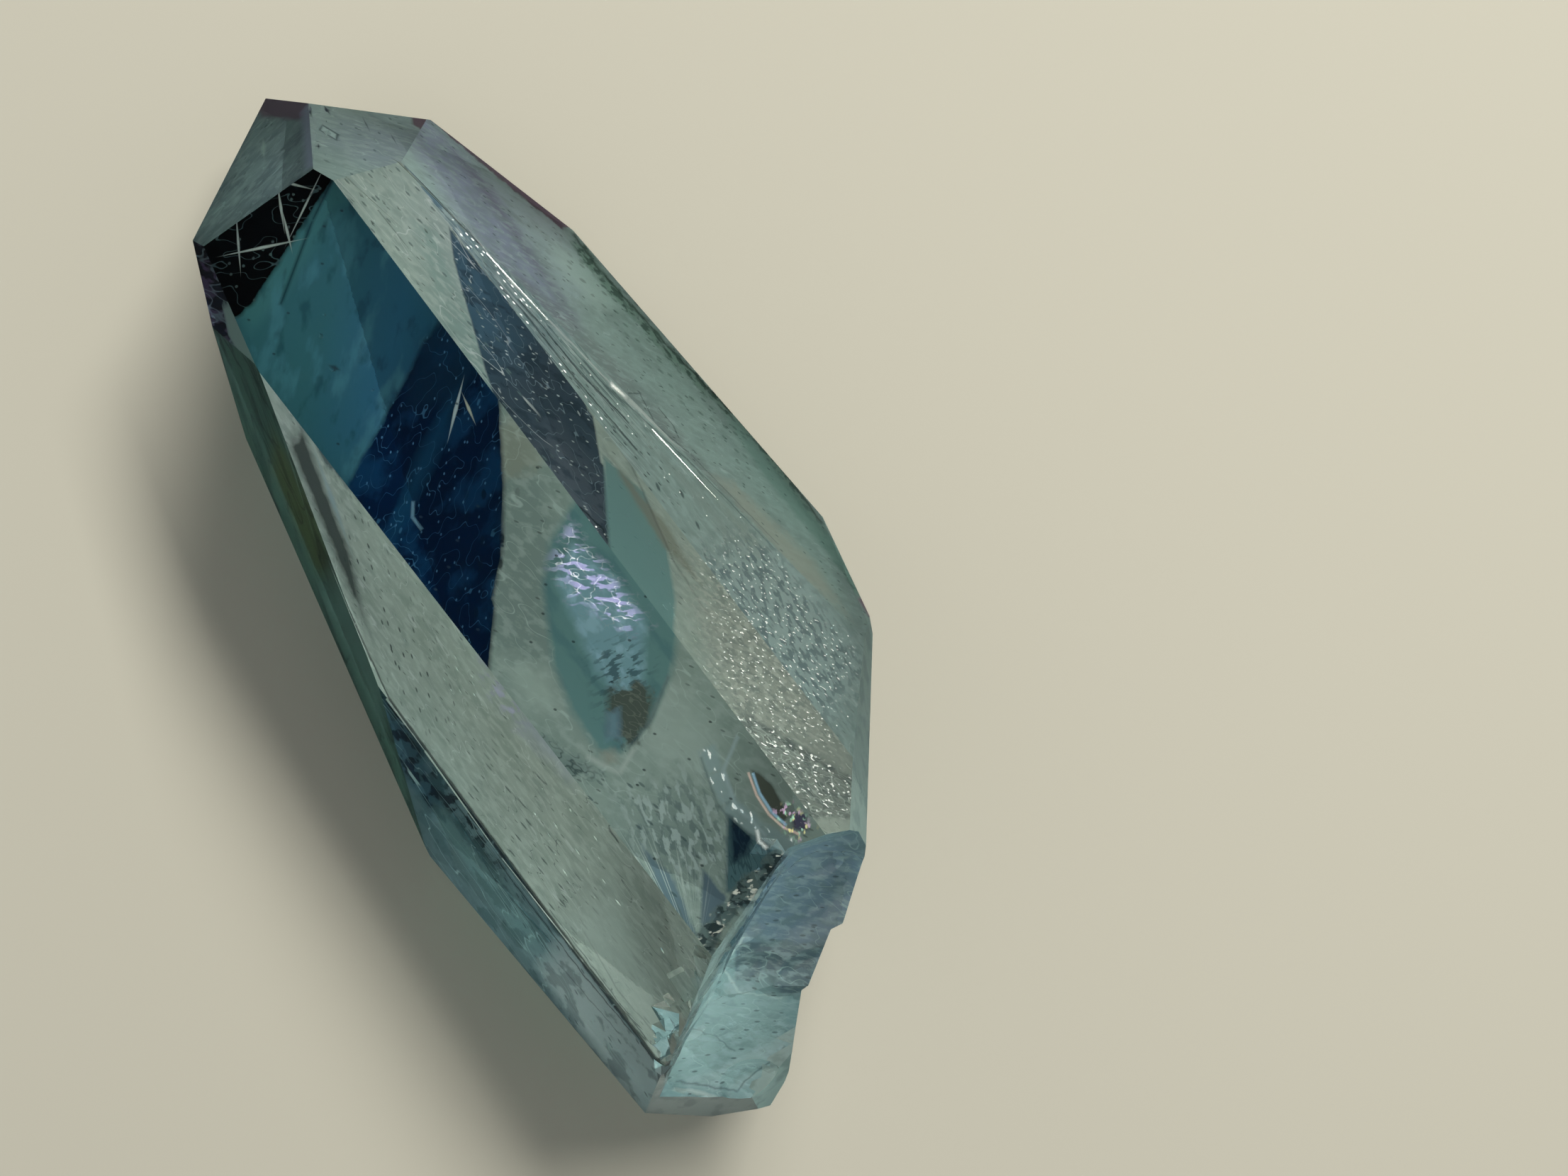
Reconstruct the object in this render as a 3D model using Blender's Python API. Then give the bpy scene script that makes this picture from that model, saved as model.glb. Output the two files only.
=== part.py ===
"""Aqua aura quartz: one loose natural crystal, lying on a face of its prism.

The crystal is a block cut by its own natural faces. Its c axis runs along X, with the tip
towards -X and the broken base towards +X, and it rests on Z = 0. A face is given the way a
crystallographer gives it, seen from the crystal's heart:
  turn   degrees around the c axis, from +Y (0) over the top (90) to -Y (180)
  lean   degrees that the face leans over towards the tip (negative: towards the base)
  reach  millimetres from the heart out to the face
A place on a face is (along, across) in millimetres from the point nearest to the heart:
along runs with the c axis towards the base, across is at right angles to it.
Units are metres, +Z up, origin at the bottom centre of the bounding box.
"""
import bpy
import bmesh
import math
import random
from mathutils import Matrix, Vector

MM = 0.001
COLLECTION = "aqua_aura_quartz"
CUTTER_COLLECTION = "aqua_aura_quartz_cutters"

# ---- driving dimensions: the natural faces --------------------------------------------------
BLOCK_SIZE = 80.0          # raw block that every face is cut from, mm
HEART_HEIGHT = 4.62        # c axis above the face that the crystal rests on, mm

GROWTH_FACES = {
    "window": (91.5, 8.5, 6.19),
    "left_pyramid": (87.0, 52.5, 11.73),
    "right_pyramid": (31.5, 22.5, 8.64),
    "right_prism": (31.0, 3.5, 5.61),
    "striated_strip": (27.5, 3.0, 5.55),
    "right_flank": (23.0, 3.5, 5.65),
    "left_prism": (141.0, 5.0, 5.11),
    "left_flank_tip": (154.0, 11.5, 5.15),
    "left_flank_base": (146.0, 4.5, 5.21),
    "left_shoulder": (150.0, 15.5, 5.88),
    "side_strip": (15.5, -25.0, 8.96),
}
UNDERSIDE_FACES = {
    "resting_face": (-90.0, 0.0, HEART_HEIGHT),
    "under_left_tip": (-167.5, 36.5, 7.16),
    "under_left": (-143.0, 18.0, 4.51),
    "under_left_base": (-151.5, -11.5, 7.61),
    "tip_end": (16.0, 43.0, 12.09),
    "under_tip": (-58.5, 34.5, 11.16),
    "under_right_tip": (-35.5, 28.0, 10.64),
    "under_right": (-30.0, 0.5, 8.25),
    "under_right_base": (-31.5, -32.0, 9.20),
    "under_base": (-122.5, -14.5, 7.35),
}
BROKEN_BASE_FACES = {
    "base_corner": (119.0, -50.0, 13.74),
    "base_ledge": (84.5, -58.0, 13.52),
    "base_side": (0.0, -43.5, 10.17),
    "base_high": (1.0, -53.0, 11.17),
    "base_middle": (-1.5, -54.5, 11.24),
    "base_low": (-1.0, -65.0, 13.23),
    "base_end": (169.0, -57.5, 15.97),
    "base_left": (165.5, -41.0, 14.30),
}

# ---- driving dimensions: where pieces broke away --------------------------------------------
BREAK_FLOOR = (97.5, -44.0, 11.86)
# Each break takes what lies outside all of its faces together.
BREAKS = {
    "main_break": (BREAK_FLOOR, (39.5, -69.0, 11.70), (36.5, -67.5, 11.55), (142.5, -66.5, 10.68)),
    "upper_step": ((10.0, -60.0, 11.97), (141.0, -75.0, 12.96), (-73.5, 79.5, -14.29)),
    "lower_step": ((0.0, -45.5, 9.30), (108.0, -80.0, 14.20)),
}
# Shell-shaped scars in the break's floor: along, across, half length, half width, depth, twist.
SCALLOPS = (
    (5.4, 1.0, 2.0, 2.6, 0.34, 20), (8.1, -2.6, 2.3, 2.4, 0.30, -10), (6.1, -0.9, 1.2, 0.9, 0.42, 40),
    (4.5, 2.3, 1.1, 1.0, 0.30, 0), (4.8, 0.0, 0.7, 0.9, 0.36, -30), (9.6, -3.5, 1.1, 0.9, 0.30, 15),
    (7.2, 0.1, 1.2, 0.8, 0.32, 60), (6.6, -3.2, 0.9, 0.8, 0.28, 0), (9.0, -1.6, 0.9, 0.5, 0.22, 30),
)
# Corner points of the rim where the break meets the top faces, on the floor: along, across.
BREAK_RIM = ((6.7, -4.4), (5.7, -3.4), (4.9, -2.2), (4.0, -0.5), (3.5, 0.5), (2.7, 2.3))
RIM_CHIP_SIZES = (0.30, 0.75)
RIM_CHIP_COUNT = 18

# ---- driving dimensions: grooves, ridges and pits -------------------------------------------
# face, start, end, width, depth; a groove fades out towards its end.
GROOVES = (
    ("left_flank_base", (1.1, -0.86), (3.1, -0.68), 0.20, 0.12),
    ("left_flank_base", (2.9, -0.70), (6.5, -0.50), 0.17, 0.12),
    ("left_flank_base", (13.3, 0.70), (6.2, -0.52), 0.22, 0.14),
    ("left_flank_base", (13.0, 1.02), (10.8, 0.10), 0.09, 0.07),
    ("left_flank_base", (4.7, -1.57), (7.0, -1.64), 0.12, 0.08),
    ("left_flank_base", (9.1, -1.00), (6.8, -1.62), 0.14, 0.08),
    ("left_flank_tip", (0.7, 0.28), (-2.1, 1.28), 0.12, 0.08),
    ("right_flank", (-10.9, -0.25), (-7.6, 0.18), 0.13, 0.12),
    ("right_flank", (-1.6, 1.15), (-0.9, 1.75), 0.09, 0.06),
    ("right_flank", (-0.9, 1.20), (-0.9, 1.90), 0.08, 0.06),
    ("right_flank", (-0.1, 1.45), (0.5, 1.95), 0.09, 0.06),
    ("right_prism", (-10.2, -2.0), (-8.3, -1.6), 0.08, 0.05),
    ("right_prism", (-9.0, -1.9), (-6.9, -2.1), 0.08, 0.05),
)
STRIATION_ROWS = 8         # fine ridges that run down the striated strip
STRIATION_START = (-8.9, 0.62)
STRIATION_END = (4.6, 1.75)
STRIATION_FAN = 0.17       # how much further apart each row ends, mm
# face, along, across, length, width, depth, twist in degrees
PITS = (
    ("right_pyramid", -9.8, -0.20, 0.50, 0.30, 0.07, -62),
    ("right_pyramid", -11.0, 0.55, 0.55, 0.16, 0.10, -55),
    ("right_pyramid", -10.8, 1.05, 0.36, 0.17, 0.10, -50),
    ("right_pyramid", -8.9, -1.45, 0.20, 0.07, 0.05, -50),
    ("right_pyramid", -10.3, 0.40, 0.22, 0.06, 0.05, -50),
    ("right_pyramid", -9.0, 1.00, 0.40, 0.06, 0.05, -20),
    ("window", -5.7, 0.06, 0.26, 0.18, 0.09, 30),
    ("window", -6.6, 0.35, 0.24, 0.16, 0.06, 0),
    ("window", -7.0, 0.75, 0.16, 0.12, 0.05, 20),
    ("window", -4.6, 0.55, 0.18, 0.10, 0.05, 60),
    ("left_pyramid", -8.2, 2.30, 0.22, 0.12, 0.05, 10),
    ("left_prism", 2.4, 3.20, 0.30, 0.10, 0.06, 15),
    ("left_flank_base", 3.4, -1.50, 0.34, 0.14, 0.07, 5),
)
# Fields of small etch pits: face, four corners, count, length range.
PIT_FIELDS = (
    ("right_prism", ((-9.8, -2.5), (-8.7, -0.2), (0.9, -1.9), (0.9, -4.0)), 46, (0.14, 0.32)),
    ("right_prism", ((1.2, -4.0), (1.2, -1.8), (8.0, -1.4), (7.6, -4.2)), 20, (0.12, 0.26)),
    ("left_prism", ((-2.3, 1.8), (-1.6, 3.9), (3.3, 2.9), (3.0, 0.9)), 34, (0.10, 0.22)),
    ("left_prism", ((3.4, 0.9), (3.8, 3.4), (11.0, 4.4), (10.6, 1.6)), 18, (0.12, 0.30)),
    ("right_flank", ((-6.6, 1.2), (-4.6, 5.6), (3.4, 5.2), (3.6, 2.6)), 12, (0.12, 0.26)),
    ("under_right", ((-5.5, -2.6), (-5.5, 2.6), (5.5, 2.6), (5.5, -2.6)), 14, (0.15, 0.40)),
)
PIT_SLENDERNESS = 0.36     # width of a field pit over its length
PIT_STEEPNESS = 0.30       # depth of a field pit over its length

# ---- finish ---------------------------------------------------------------------------------
CRYSTAL_COLOUR = (0.60, 0.80, 0.80, 1.0)
CRYSTAL_ROUGHNESS = 0.03
QUARTZ_IOR = 1.544
TINT_COLOUR = (0.45, 0.75, 0.80, 1.0)
TINT_DENSITY = 60.0        # absorption per metre

FACES = {**GROWTH_FACES, **UNDERSIDE_FACES, **BROKEN_BASE_FACES}


# ---- faces and places on them ---------------------------------------------------------------
def face_normal(face):
    """Outward unit normal of a face."""
    turn, lean = math.radians(face[0]), math.radians(face[1])
    across_axis = math.cos(lean)
    return Vector((-math.sin(lean), across_axis * math.cos(turn), across_axis * math.sin(turn)))


def face_frame(face):
    """Millimetre frame on a face: X along the c axis, Y across it, Z outwards."""
    normal = face_normal(face)
    along = Vector((1.0, 0.0, 0.0))
    along = (along - normal * along.dot(normal)).normalized()
    axes = Matrix((along, normal.cross(along), normal)).transposed()
    return Matrix.Translation(normal * face[2] * MM) @ axes.to_4x4() @ Matrix.Scale(MM, 4)


def cut_block(faces, keep_inside=True):
    """A raw block bisected by each face in turn, each cut closed again."""
    bm = bmesh.new()
    bmesh.ops.create_cube(bm, size=BLOCK_SIZE * MM)
    for face in faces:
        normal = face_normal(face)
        everything = bm.verts[:] + bm.edges[:] + bm.faces[:]
        cut = bmesh.ops.bisect_plane(
            bm, geom=everything, dist=1e-8, plane_co=normal * face[2] * MM, plane_no=normal,
            clear_outer=keep_inside, clear_inner=not keep_inside)
        rim = [item for item in cut["geom_cut"] if isinstance(item, bmesh.types.BMEdge)]
        bmesh.ops.contextual_create(bm, geom=rim)
    bmesh.ops.recalc_face_normals(bm, faces=bm.faces[:])
    return bm


def spin(angle, axis):
    return Matrix.Rotation(math.radians(angle), 4, axis)


def sized(x, y, z):
    return Matrix.Diagonal((x, y, z, 1.0))


# ---- cutter shapes, one small closed body each ----------------------------------------------
def add_pit(bm, face, along, across, length, width, depth, twist):
    """A four-sided etch pit: a small pyramid with its point under the face."""
    proud = 0.25 * depth
    place = (face_frame(FACES[face]) @ Matrix.Translation((along, across, -depth / 2 + proud / 2))
             @ spin(twist, "Z") @ spin(180, "X") @ sized(length / 2, width / 2, depth + proud))
    bmesh.ops.create_cone(bm, cap_ends=True, segments=4, radius1=1.0, radius2=0.12, depth=1.0, matrix=place)


def add_groove(bm, frame, start, end, width, depth):
    """A V groove: a lying four-sided spike that narrows towards its end."""
    start, end = Vector((*start, 0.0)), Vector((*end, 0.0))
    run = end - start
    middle = (start + end) / 2
    middle.z = 0.3 * depth
    place = (frame @ Matrix.Translation(middle) @ spin(math.degrees(math.atan2(run.y, run.x)), "Z")
             @ spin(90, "Y") @ sized(1.3 * depth, width / 2, run.length))
    bmesh.ops.create_cone(bm, cap_ends=True, segments=4, radius1=1.0, radius2=0.35, depth=1.0, matrix=place)


def add_chip(bm, frame, along, across, height, size, rng):
    """An angular chip: a small block turned any way."""
    turned = spin(rng.uniform(0, 90), "X") @ spin(rng.uniform(0, 90), "Y") @ spin(rng.uniform(0, 90), "Z")
    squat = sized(size * rng.uniform(0.7, 1.3), size * rng.uniform(0.7, 1.3), size)
    place = frame @ Matrix.Translation((along, across, height)) @ turned @ squat
    bmesh.ops.create_cube(bm, size=1.0, matrix=place)


# ---- cutters ----------------------------------------------------------------------------------
def groove_cutter():
    """Long grooves by the left edge, the crease at the right and the fine striation rows."""
    bm = bmesh.new()
    for face, start, end, width, depth in GROOVES:
        add_groove(bm, face_frame(FACES[face]), start, end, width, depth)
    return bm


def striation_cutter():
    """Fine rows that fan out down the strip, each broken into a few strokes."""
    rng = random.Random(4)
    bm = bmesh.new()
    frame = face_frame(FACES["striated_strip"])
    start, end = Vector(STRIATION_START), Vector(STRIATION_END)
    for row in range(STRIATION_ROWS):
        row_start = start + Vector((0.55 * row, -0.03 * row))
        row_end = end + Vector((-0.5 * row, -(0.03 + STRIATION_FAN) * row))
        stop = 0.0
        while stop < 0.95:
            begin = stop + rng.uniform(0.015, 0.05)
            stop = min(begin + rng.uniform(0.16, 0.40), 1.0)
            add_groove(bm, frame, row_start.lerp(row_end, begin), row_start.lerp(row_end, stop),
                       rng.uniform(0.05, 0.09), rng.uniform(0.03, 0.05))
    return bm


def pit_cutter():
    """Single etch pits and fields of small ones, long sides roughly with the c axis."""
    rng = random.Random(11)
    bm = bmesh.new()
    for pit in PITS:
        add_pit(bm, *pit)
    for face, corners, count, lengths in PIT_FIELDS:
        a, b, c, d = (Vector(corner) for corner in corners)
        placed = []
        while len(placed) < count:
            u, v = rng.random(), rng.random()
            spot = a.lerp(b, v).lerp(d.lerp(c, v), u)
            if any((spot - other).length < 1.3 * lengths[1] for other in placed):
                continue
            placed.append(spot)
            length = rng.uniform(*lengths)
            add_pit(bm, face, spot.x, spot.y, length, PIT_SLENDERNESS * length,
                    PIT_STEEPNESS * length, rng.uniform(-12, 12))
    return bm


def scallop_cutter(index):
    """A flattened ball that takes one shell-shaped scar out of the break's floor."""
    along, across, half_length, half_width, depth, twist = SCALLOPS[index]
    bm = bmesh.new()
    place = (face_frame(BREAK_FLOOR) @ Matrix.Translation((along, across, 0.05 * depth)) @ spin(twist, "Z")
             @ sized(half_length, half_width, 1.05 * depth) @ spin(17 * index, "X"))
    bmesh.ops.create_icosphere(bm, subdivisions=3, radius=1.0, matrix=place)
    return bm


def rim_chip_cutter():
    """Angular chips along the rim of the break."""
    rng = random.Random(3)
    bm = bmesh.new()
    frame = face_frame(BREAK_FLOOR)
    legs = len(BREAK_RIM) - 1
    for index in range(RIM_CHIP_COUNT):
        way = legs * (index + rng.uniform(0.2, 0.8)) / RIM_CHIP_COUNT
        leg = min(int(way), legs - 1)
        spot = Vector(BREAK_RIM[leg]).lerp(Vector(BREAK_RIM[leg + 1]), way - leg)
        size = rng.uniform(*RIM_CHIP_SIZES)
        add_chip(bm, frame, spot.x - rng.uniform(0.1, 0.5), spot.y - rng.uniform(0.0, 0.2),
                 rng.uniform(0.1, 0.6), size, rng)
    return bm


# ---- objects ----------------------------------------------------------------------------------
def add_object(name, bm, collection, parent):
    """Turn a bmesh into an object of the collection."""
    mesh = bpy.data.meshes.new(name)
    bm.to_mesh(mesh)
    bm.free()
    obj = bpy.data.objects.new(name, mesh)
    collection.objects.link(obj)
    obj.parent = parent
    return obj


def cut_away(target, name, bm, collection, overlapping=False):
    """Take a cutter's shape out of the target with an exact Boolean."""
    bmesh.ops.recalc_face_normals(bm, faces=bm.faces[:])
    cutter = add_object(name + "_cutter", bm, collection, target.parent)
    cutter.hide_render = True
    cutter.display_type = "WIRE"
    cut = target.modifiers.new(name, "BOOLEAN")
    cut.operation = "DIFFERENCE"
    cut.solver = "EXACT"
    cut.use_self = overlapping
    cut.object = cutter


def crystal_material():
    """Clear quartz under a thin aqua coating."""
    material = bpy.data.materials.new("aqua_aura_quartz")
    material.use_nodes = True
    nodes, links = material.node_tree.nodes, material.node_tree.links
    shader = nodes["Principled BSDF"]
    shader.inputs["Base Color"].default_value = CRYSTAL_COLOUR
    shader.inputs["Roughness"].default_value = CRYSTAL_ROUGHNESS
    shader.inputs["Metallic"].default_value = 0.0
    shader.inputs["IOR"].default_value = QUARTZ_IOR
    shader.inputs["Transmission Weight"].default_value = 1.0
    tint = nodes.new("ShaderNodeVolumeAbsorption")
    tint.inputs["Color"].default_value = TINT_COLOUR
    tint.inputs["Density"].default_value = TINT_DENSITY
    links.new(tint.outputs["Volume"], nodes["Material Output"].inputs["Volume"])
    return material


def centre_on_floor(crystal, heart):
    """Move the heart so that the finished crystal's box stands centred on the origin."""
    bpy.context.view_layer.update()
    finished = crystal.evaluated_get(bpy.context.evaluated_depsgraph_get())
    corners = [finished.matrix_world @ vertex.co for vertex in finished.data.vertices]
    low = Vector(min(corner[axis] for corner in corners) for axis in range(3))
    high = Vector(max(corner[axis] for corner in corners) for axis in range(3))
    heart.location = Vector((-(low.x + high.x) / 2, -(low.y + high.y) / 2, -low.z))


def main():
    for obj in list(bpy.data.objects):
        bpy.data.objects.remove(obj)
    scene = bpy.context.scene
    parts = bpy.data.collections.new(COLLECTION)
    cutters = bpy.data.collections.new(CUTTER_COLLECTION)
    scene.collection.children.link(parts)
    scene.collection.children.link(cutters)
    heart = bpy.data.objects.new("heart", None)
    parts.objects.link(heart)
    crystal = add_object("crystal", cut_block(FACES.values()), parts, heart)
    crystal.data.materials.append(crystal_material())
    for name, faces in BREAKS.items():
        cut_away(crystal, name, cut_block(faces, keep_inside=False), cutters)
    for index in range(len(SCALLOPS)):
        cut_away(crystal, f"scallop_{index + 1}", scallop_cutter(index), cutters)
    cut_away(crystal, "rim_chips", rim_chip_cutter(), cutters, overlapping=True)
    cut_away(crystal, "grooves", groove_cutter(), cutters, overlapping=True)
    cut_away(crystal, "striations", striation_cutter(), cutters, overlapping=True)
    cut_away(crystal, "pits", pit_cutter(), cutters, overlapping=True)
    centre_on_floor(crystal, heart)


main()
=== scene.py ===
"""Looks of the aqua aura quartz crystal: clear faces under a thin blue coating, on a pale floor."""
import bpy
import bmesh
import math
from mathutils import Matrix, Vector


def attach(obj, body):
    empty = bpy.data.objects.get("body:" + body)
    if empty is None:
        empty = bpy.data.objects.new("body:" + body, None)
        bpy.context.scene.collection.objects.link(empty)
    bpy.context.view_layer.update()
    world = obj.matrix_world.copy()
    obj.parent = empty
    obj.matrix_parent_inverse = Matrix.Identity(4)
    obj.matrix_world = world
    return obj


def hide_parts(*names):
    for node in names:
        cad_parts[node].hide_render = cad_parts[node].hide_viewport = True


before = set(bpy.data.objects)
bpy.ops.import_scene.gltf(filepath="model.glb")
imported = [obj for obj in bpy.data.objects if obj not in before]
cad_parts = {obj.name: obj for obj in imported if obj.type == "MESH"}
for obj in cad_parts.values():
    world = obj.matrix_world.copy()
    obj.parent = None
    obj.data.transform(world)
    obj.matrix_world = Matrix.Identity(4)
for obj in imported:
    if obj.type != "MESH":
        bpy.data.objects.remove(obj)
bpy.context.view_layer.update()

MM = 0.001
# The crystal's heart, on its c axis, seen from the middle of the bottom of its box.
HEART = Vector((-0.607, -0.231, 4.62)) * MM

# ---- natural faces ------------------------------------------------------------------------------
# Turn and lean in degrees, reach in millimetres from the heart, and what the uncoated face shows
# over the pale floor.
FACES = {
    "window": (91.5, 8.5, 6.19, (162, 170, 161)),
    "left_pyramid": (87.0, 52.5, 11.73, (179, 182, 175)),
    "right_pyramid": (31.5, 22.5, 8.64, (151, 157, 155)),
    "right_prism": (31.0, 3.5, 5.61, (141, 154, 151)),
    "striated_strip": (27.5, 3.0, 5.55, (151, 155, 145)),
    "right_flank": (23.0, 3.5, 5.65, (142, 148, 141)),
    "left_prism": (141.0, 5.0, 5.11, (150, 161, 154)),
    "left_flank_tip": (154.0, 11.5, 5.15, (190, 178, 178)),
    "left_flank_base": (146.0, 4.5, 5.21, (253, 240, 216)),
    "left_shoulder": (150.0, 15.5, 5.88, (225, 218, 213)),
    "side_strip": (15.5, -25.0, 8.96, (127, 142, 134)),
    "break_floor": (97.5, -44.0, 11.86, (163, 168, 160)),
    "base_corner": (119.0, -50.0, 13.74, (169, 191, 183)),
    "base_ledge": (84.5, -58.0, 13.52, (141, 156, 147)),
}
# The underside is no natural face: its marks lie in a level sheet through the heart.
LEVEL_SHEET = (90.0, 0.0, 0.0, (255, 255, 255))
# A polygon joins the natural face it lies on; its own turn away from a face counts as a distance.
TURN_COST = 0.2 * MM
# One that points down and lies this far from every natural face belongs to the underside.
UNDERSIDE_TILT = -0.10
OFF_FACE = 0.3 * MM
# Corners this close to each other are one.
WELD = 1e-4 * MM

# ---- quartz -------------------------------------------------------------------------------------
QUARTZ_IOR = 1.544
WATER_TINT = (0.60, 0.80, 0.78, 1.0)
WATER_DENSITY = 9.0
# The coating mutes the mirror shine of the bare quartz.
SHINE = 0.25
POLISHED, BROKEN, CLOUDED = 0.03, 0.05, 0.12
UNDERSIDE_TONE = (0.30, 0.47, 0.45, 1.0)
WHITEST_BASE = 0.97
# Etch ticks are darker than the grain around them, and scratches lighter, up to a limit.
TICK_SHADE, SCRATCH_SHINE, PALEST_SCRATCH = 0.66, 1.12, 250
# The smallest painted glints, and the matt white of the underside seen through the crystal.
GLINT = (0.85, 0.88, 0.84)
MATT_WHITE = (0.93, 0.93, 0.90)
# How far one step of a seed moves a pattern, in millimetres.
SEED_SHIFT = (7.3, 3.1)


def face_normal(turn, lean):
    turn, lean = math.radians(turn), math.radians(lean)
    return Vector((-math.sin(lean), math.cos(lean) * math.cos(turn), math.cos(lean) * math.sin(turn)))


def linear(level):
    level /= 255.0
    return level / 12.92 if level <= 0.04045 else ((level + 0.055) / 1.055) ** 2.4


def base_for_tone(tone, bare):
    """Base colour that shows as this tone on a face that shows the bare tone without it; it serves both the
    coating's own colours and painted shade, reflections and glints.
    """
    through = ((linear(seen) / linear(uncoated)) ** 2 for seen, uncoated in zip(tone, bare))
    return (*(min(WHITEST_BASE, share) for share in through), 1.0)


def sideways(start, end, width):
    """Half a width, square to the way from start to end."""
    (ax, ay), (bx, by) = start, end
    half = width / 2 / math.hypot(bx - ax, by - ay)
    return (ay - by) * half, (bx - ax) * half


def feed(tree, socket, value):
    """Give a socket a plain value, or link it to another node's output."""
    if isinstance(value, bpy.types.NodeSocket):
        tree.links.new(value, socket)
    else:
        socket.default_value = value


def add_node(tree, kind, inputs=(), **settings):
    """A new node, its inputs named or numbered, with its settings."""
    node = tree.nodes.new("ShaderNode" + kind)
    for name, value in settings.items():
        setattr(node, name, value)
    for socket, value in dict(inputs).items():
        feed(tree, node.inputs[socket], value)
    return node


class Face:
    """The material of one natural face. Its nodes read the face's own millimetres, along the crystal
    and across it; tones are levels from 0 to 255, masks go from 0 to 1, and turns are in degrees.
    """

    def __init__(self, name, tone, roughness=POLISHED, clear=1.0):
        turn, lean, reach, self.bare = FACES.get(name, LEVEL_SHEET)
        self.clouds, self.spreads = {}, {}
        self.material = bpy.data.materials.new(name)
        self.material.use_nodes = True
        self.tree = self.material.node_tree
        self.shader = self.tree.nodes["Principled BSDF"]
        self.shader.inputs["IOR"].default_value = QUARTZ_IOR
        self.shader.inputs["Specular IOR Level"].default_value = SHINE
        self.colour, self.haze, self.clear, self.height = base_for_tone(tone, self.bare), roughness, clear, 0.0
        self.place = self.node("TexCoord").outputs["Object"]
        normal = face_normal(turn, lean)
        along = (Vector((1, 0, 0)) - normal * normal.x).normalized()
        foot = HEART + normal * (reach * MM)
        self.along, self.across = (self.ruler(axis, foot) for axis in (along, normal.cross(along)))
        self.sheet = self.join(self.along, self.across)

    def node(self, kind, inputs=(), **settings):
        return add_node(self.tree, kind, inputs, **settings)

    def calc(self, operation, *values, clamp=False):
        return self.node("Math", enumerate(values), operation=operation, use_clamp=clamp).outputs[0]

    def vector(self, operation, *values):
        return self.node("VectorMath", enumerate(values), operation=operation).outputs[0]

    def join(self, *parts):
        return self.node("CombineXYZ", enumerate(parts)).outputs[0]

    def ruler(self, axis, foot):
        """Millimetres from the foot of the face along one axis."""
        node = self.node("VectorMath", {0: self.place, 1: axis / MM}, operation="DOT_PRODUCT")
        return self.calc("SUBTRACT", node.outputs["Value"], foot.dot(axis) / MM)

    def step(self, value, low, high):
        """0 at low to 1 at high, smoothly."""
        ends = {"Value": value, "From Min": low, "From Max": high}
        return self.node("MapRange", ends, interpolation_type="SMOOTHSTEP").outputs["Result"]

    def stretched(self, size, stretch=1.0, turn=0.0, seed=0.0):
        """The face's millimetres, in cells of the given size drawn out along a turned line."""
        inputs = {
            "Vector": self.sheet,
            "Location": (seed * SEED_SHIFT[0], seed * SEED_SHIFT[1], 0.0),
            "Rotation": (0.0, 0.0, math.radians(turn)),
            "Scale": (size * stretch, size, 1.0),
        }
        return self.node("Mapping", inputs, vector_type="TEXTURE").outputs[0]

    def noise(self, place, detail):
        inputs = {"Vector": place, "Scale": 1.0, "Detail": detail}
        return self.node("TexNoise", inputs, noise_dimensions="2D").outputs[0]

    def cloud(self, size, detail=2.0, **lie):
        key = (size, detail, *sorted(lie.items()))
        if key not in self.clouds:
            self.clouds[key] = self.noise(self.stretched(size, **lie), detail)
        return self.clouds[key]

    def mottle(self, low, high, size, detail=2.0, **lie):
        """1 where a cloud is above high, 0 where it is below low."""
        return self.step(self.cloud(size, detail, **lie), low, high)

    def midlines(self, cloud, width):
        """Fine curved lines, where a cloud passes through its middle value."""
        return self.step(self.calc("ABSOLUTE", self.calc("SUBTRACT", cloud, 0.5)), width, 0.0)

    def hairs(self, size, width, **lie):
        return self.midlines(self.cloud(size, 1.0, **lie), width)

    def specks(self, size, radius, share, **lie):
        """Specks on a loose grid: radius and share are parts of a cell and of all cells."""
        inputs = {"Vector": self.stretched(size, **lie), "Scale": 1.0}
        cells = self.node("TexVoronoi", inputs, voronoi_dimensions="2D").outputs
        split = self.node("SeparateColor", {0: cells["Color"]})
        chosen = self.calc("LESS_THAN", split.outputs[0], share)
        return self.both(chosen, self.step(cells["Distance"], radius, radius * 0.5))

    def spread(self, ragged, grain, seed):
        """Along and across, each as a vector of three equal parts, pushed about by a cloud."""
        key = (ragged, grain, seed) if ragged else None
        if key not in self.spreads:
            pair = []
            for reading, way in ((self.along, 1), (self.across, -1)):
                if ragged:
                    swing = self.cloud(grain, 3.0, seed=seed)
                    push = self.calc("MULTIPLY_ADD", swing, 4 * way * ragged, -2 * way * ragged)
                    reading = self.calc("ADD", reading, push)
                pair.append(self.join(reading, reading, reading))
            self.spreads[key] = pair
        return self.spreads[key]

    def patch(self, outline, soft=0.06, ragged=0.0, grain=0.35, seed=0.0):
        """1 inside a convex outline; its border is soft millimetres wide and ragged by as much."""
        area = sum(a[0] * b[1] - b[0] * a[1] for a, b in zip(outline, outline[1:] + outline[:1]))
        if area < 0:
            outline = outline[::-1]
        x, y = self.spread(ragged, grain, seed)
        sides = []
        for (ax, ay), (bx, by) in zip(outline, outline[1:] + outline[:1]):
            length = math.hypot(bx - ax, by - ay) * 2 * soft
            offset = 0.5 - ((bx - ax) * ay - (by - ay) * ax) / length
            sides.append(((ay - by) / length, (bx - ax) / length, offset))
        while len(sides) % 3:
            sides.append(sides[-1])
        inside = None
        for first in range(0, len(sides), 3):
            a, b, c = zip(*sides[first:first + 3])
            three = self.vector("MULTIPLY_ADD", x, a, self.vector("MULTIPLY_ADD", y, b, c))
            inside = three if inside is None else self.vector("MINIMUM", inside, three)
        first, second, third = self.node("SeparateXYZ", {0: inside}).outputs
        return self.calc("MINIMUM", self.calc("MINIMUM", first, second), third, clamp=True)

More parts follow.
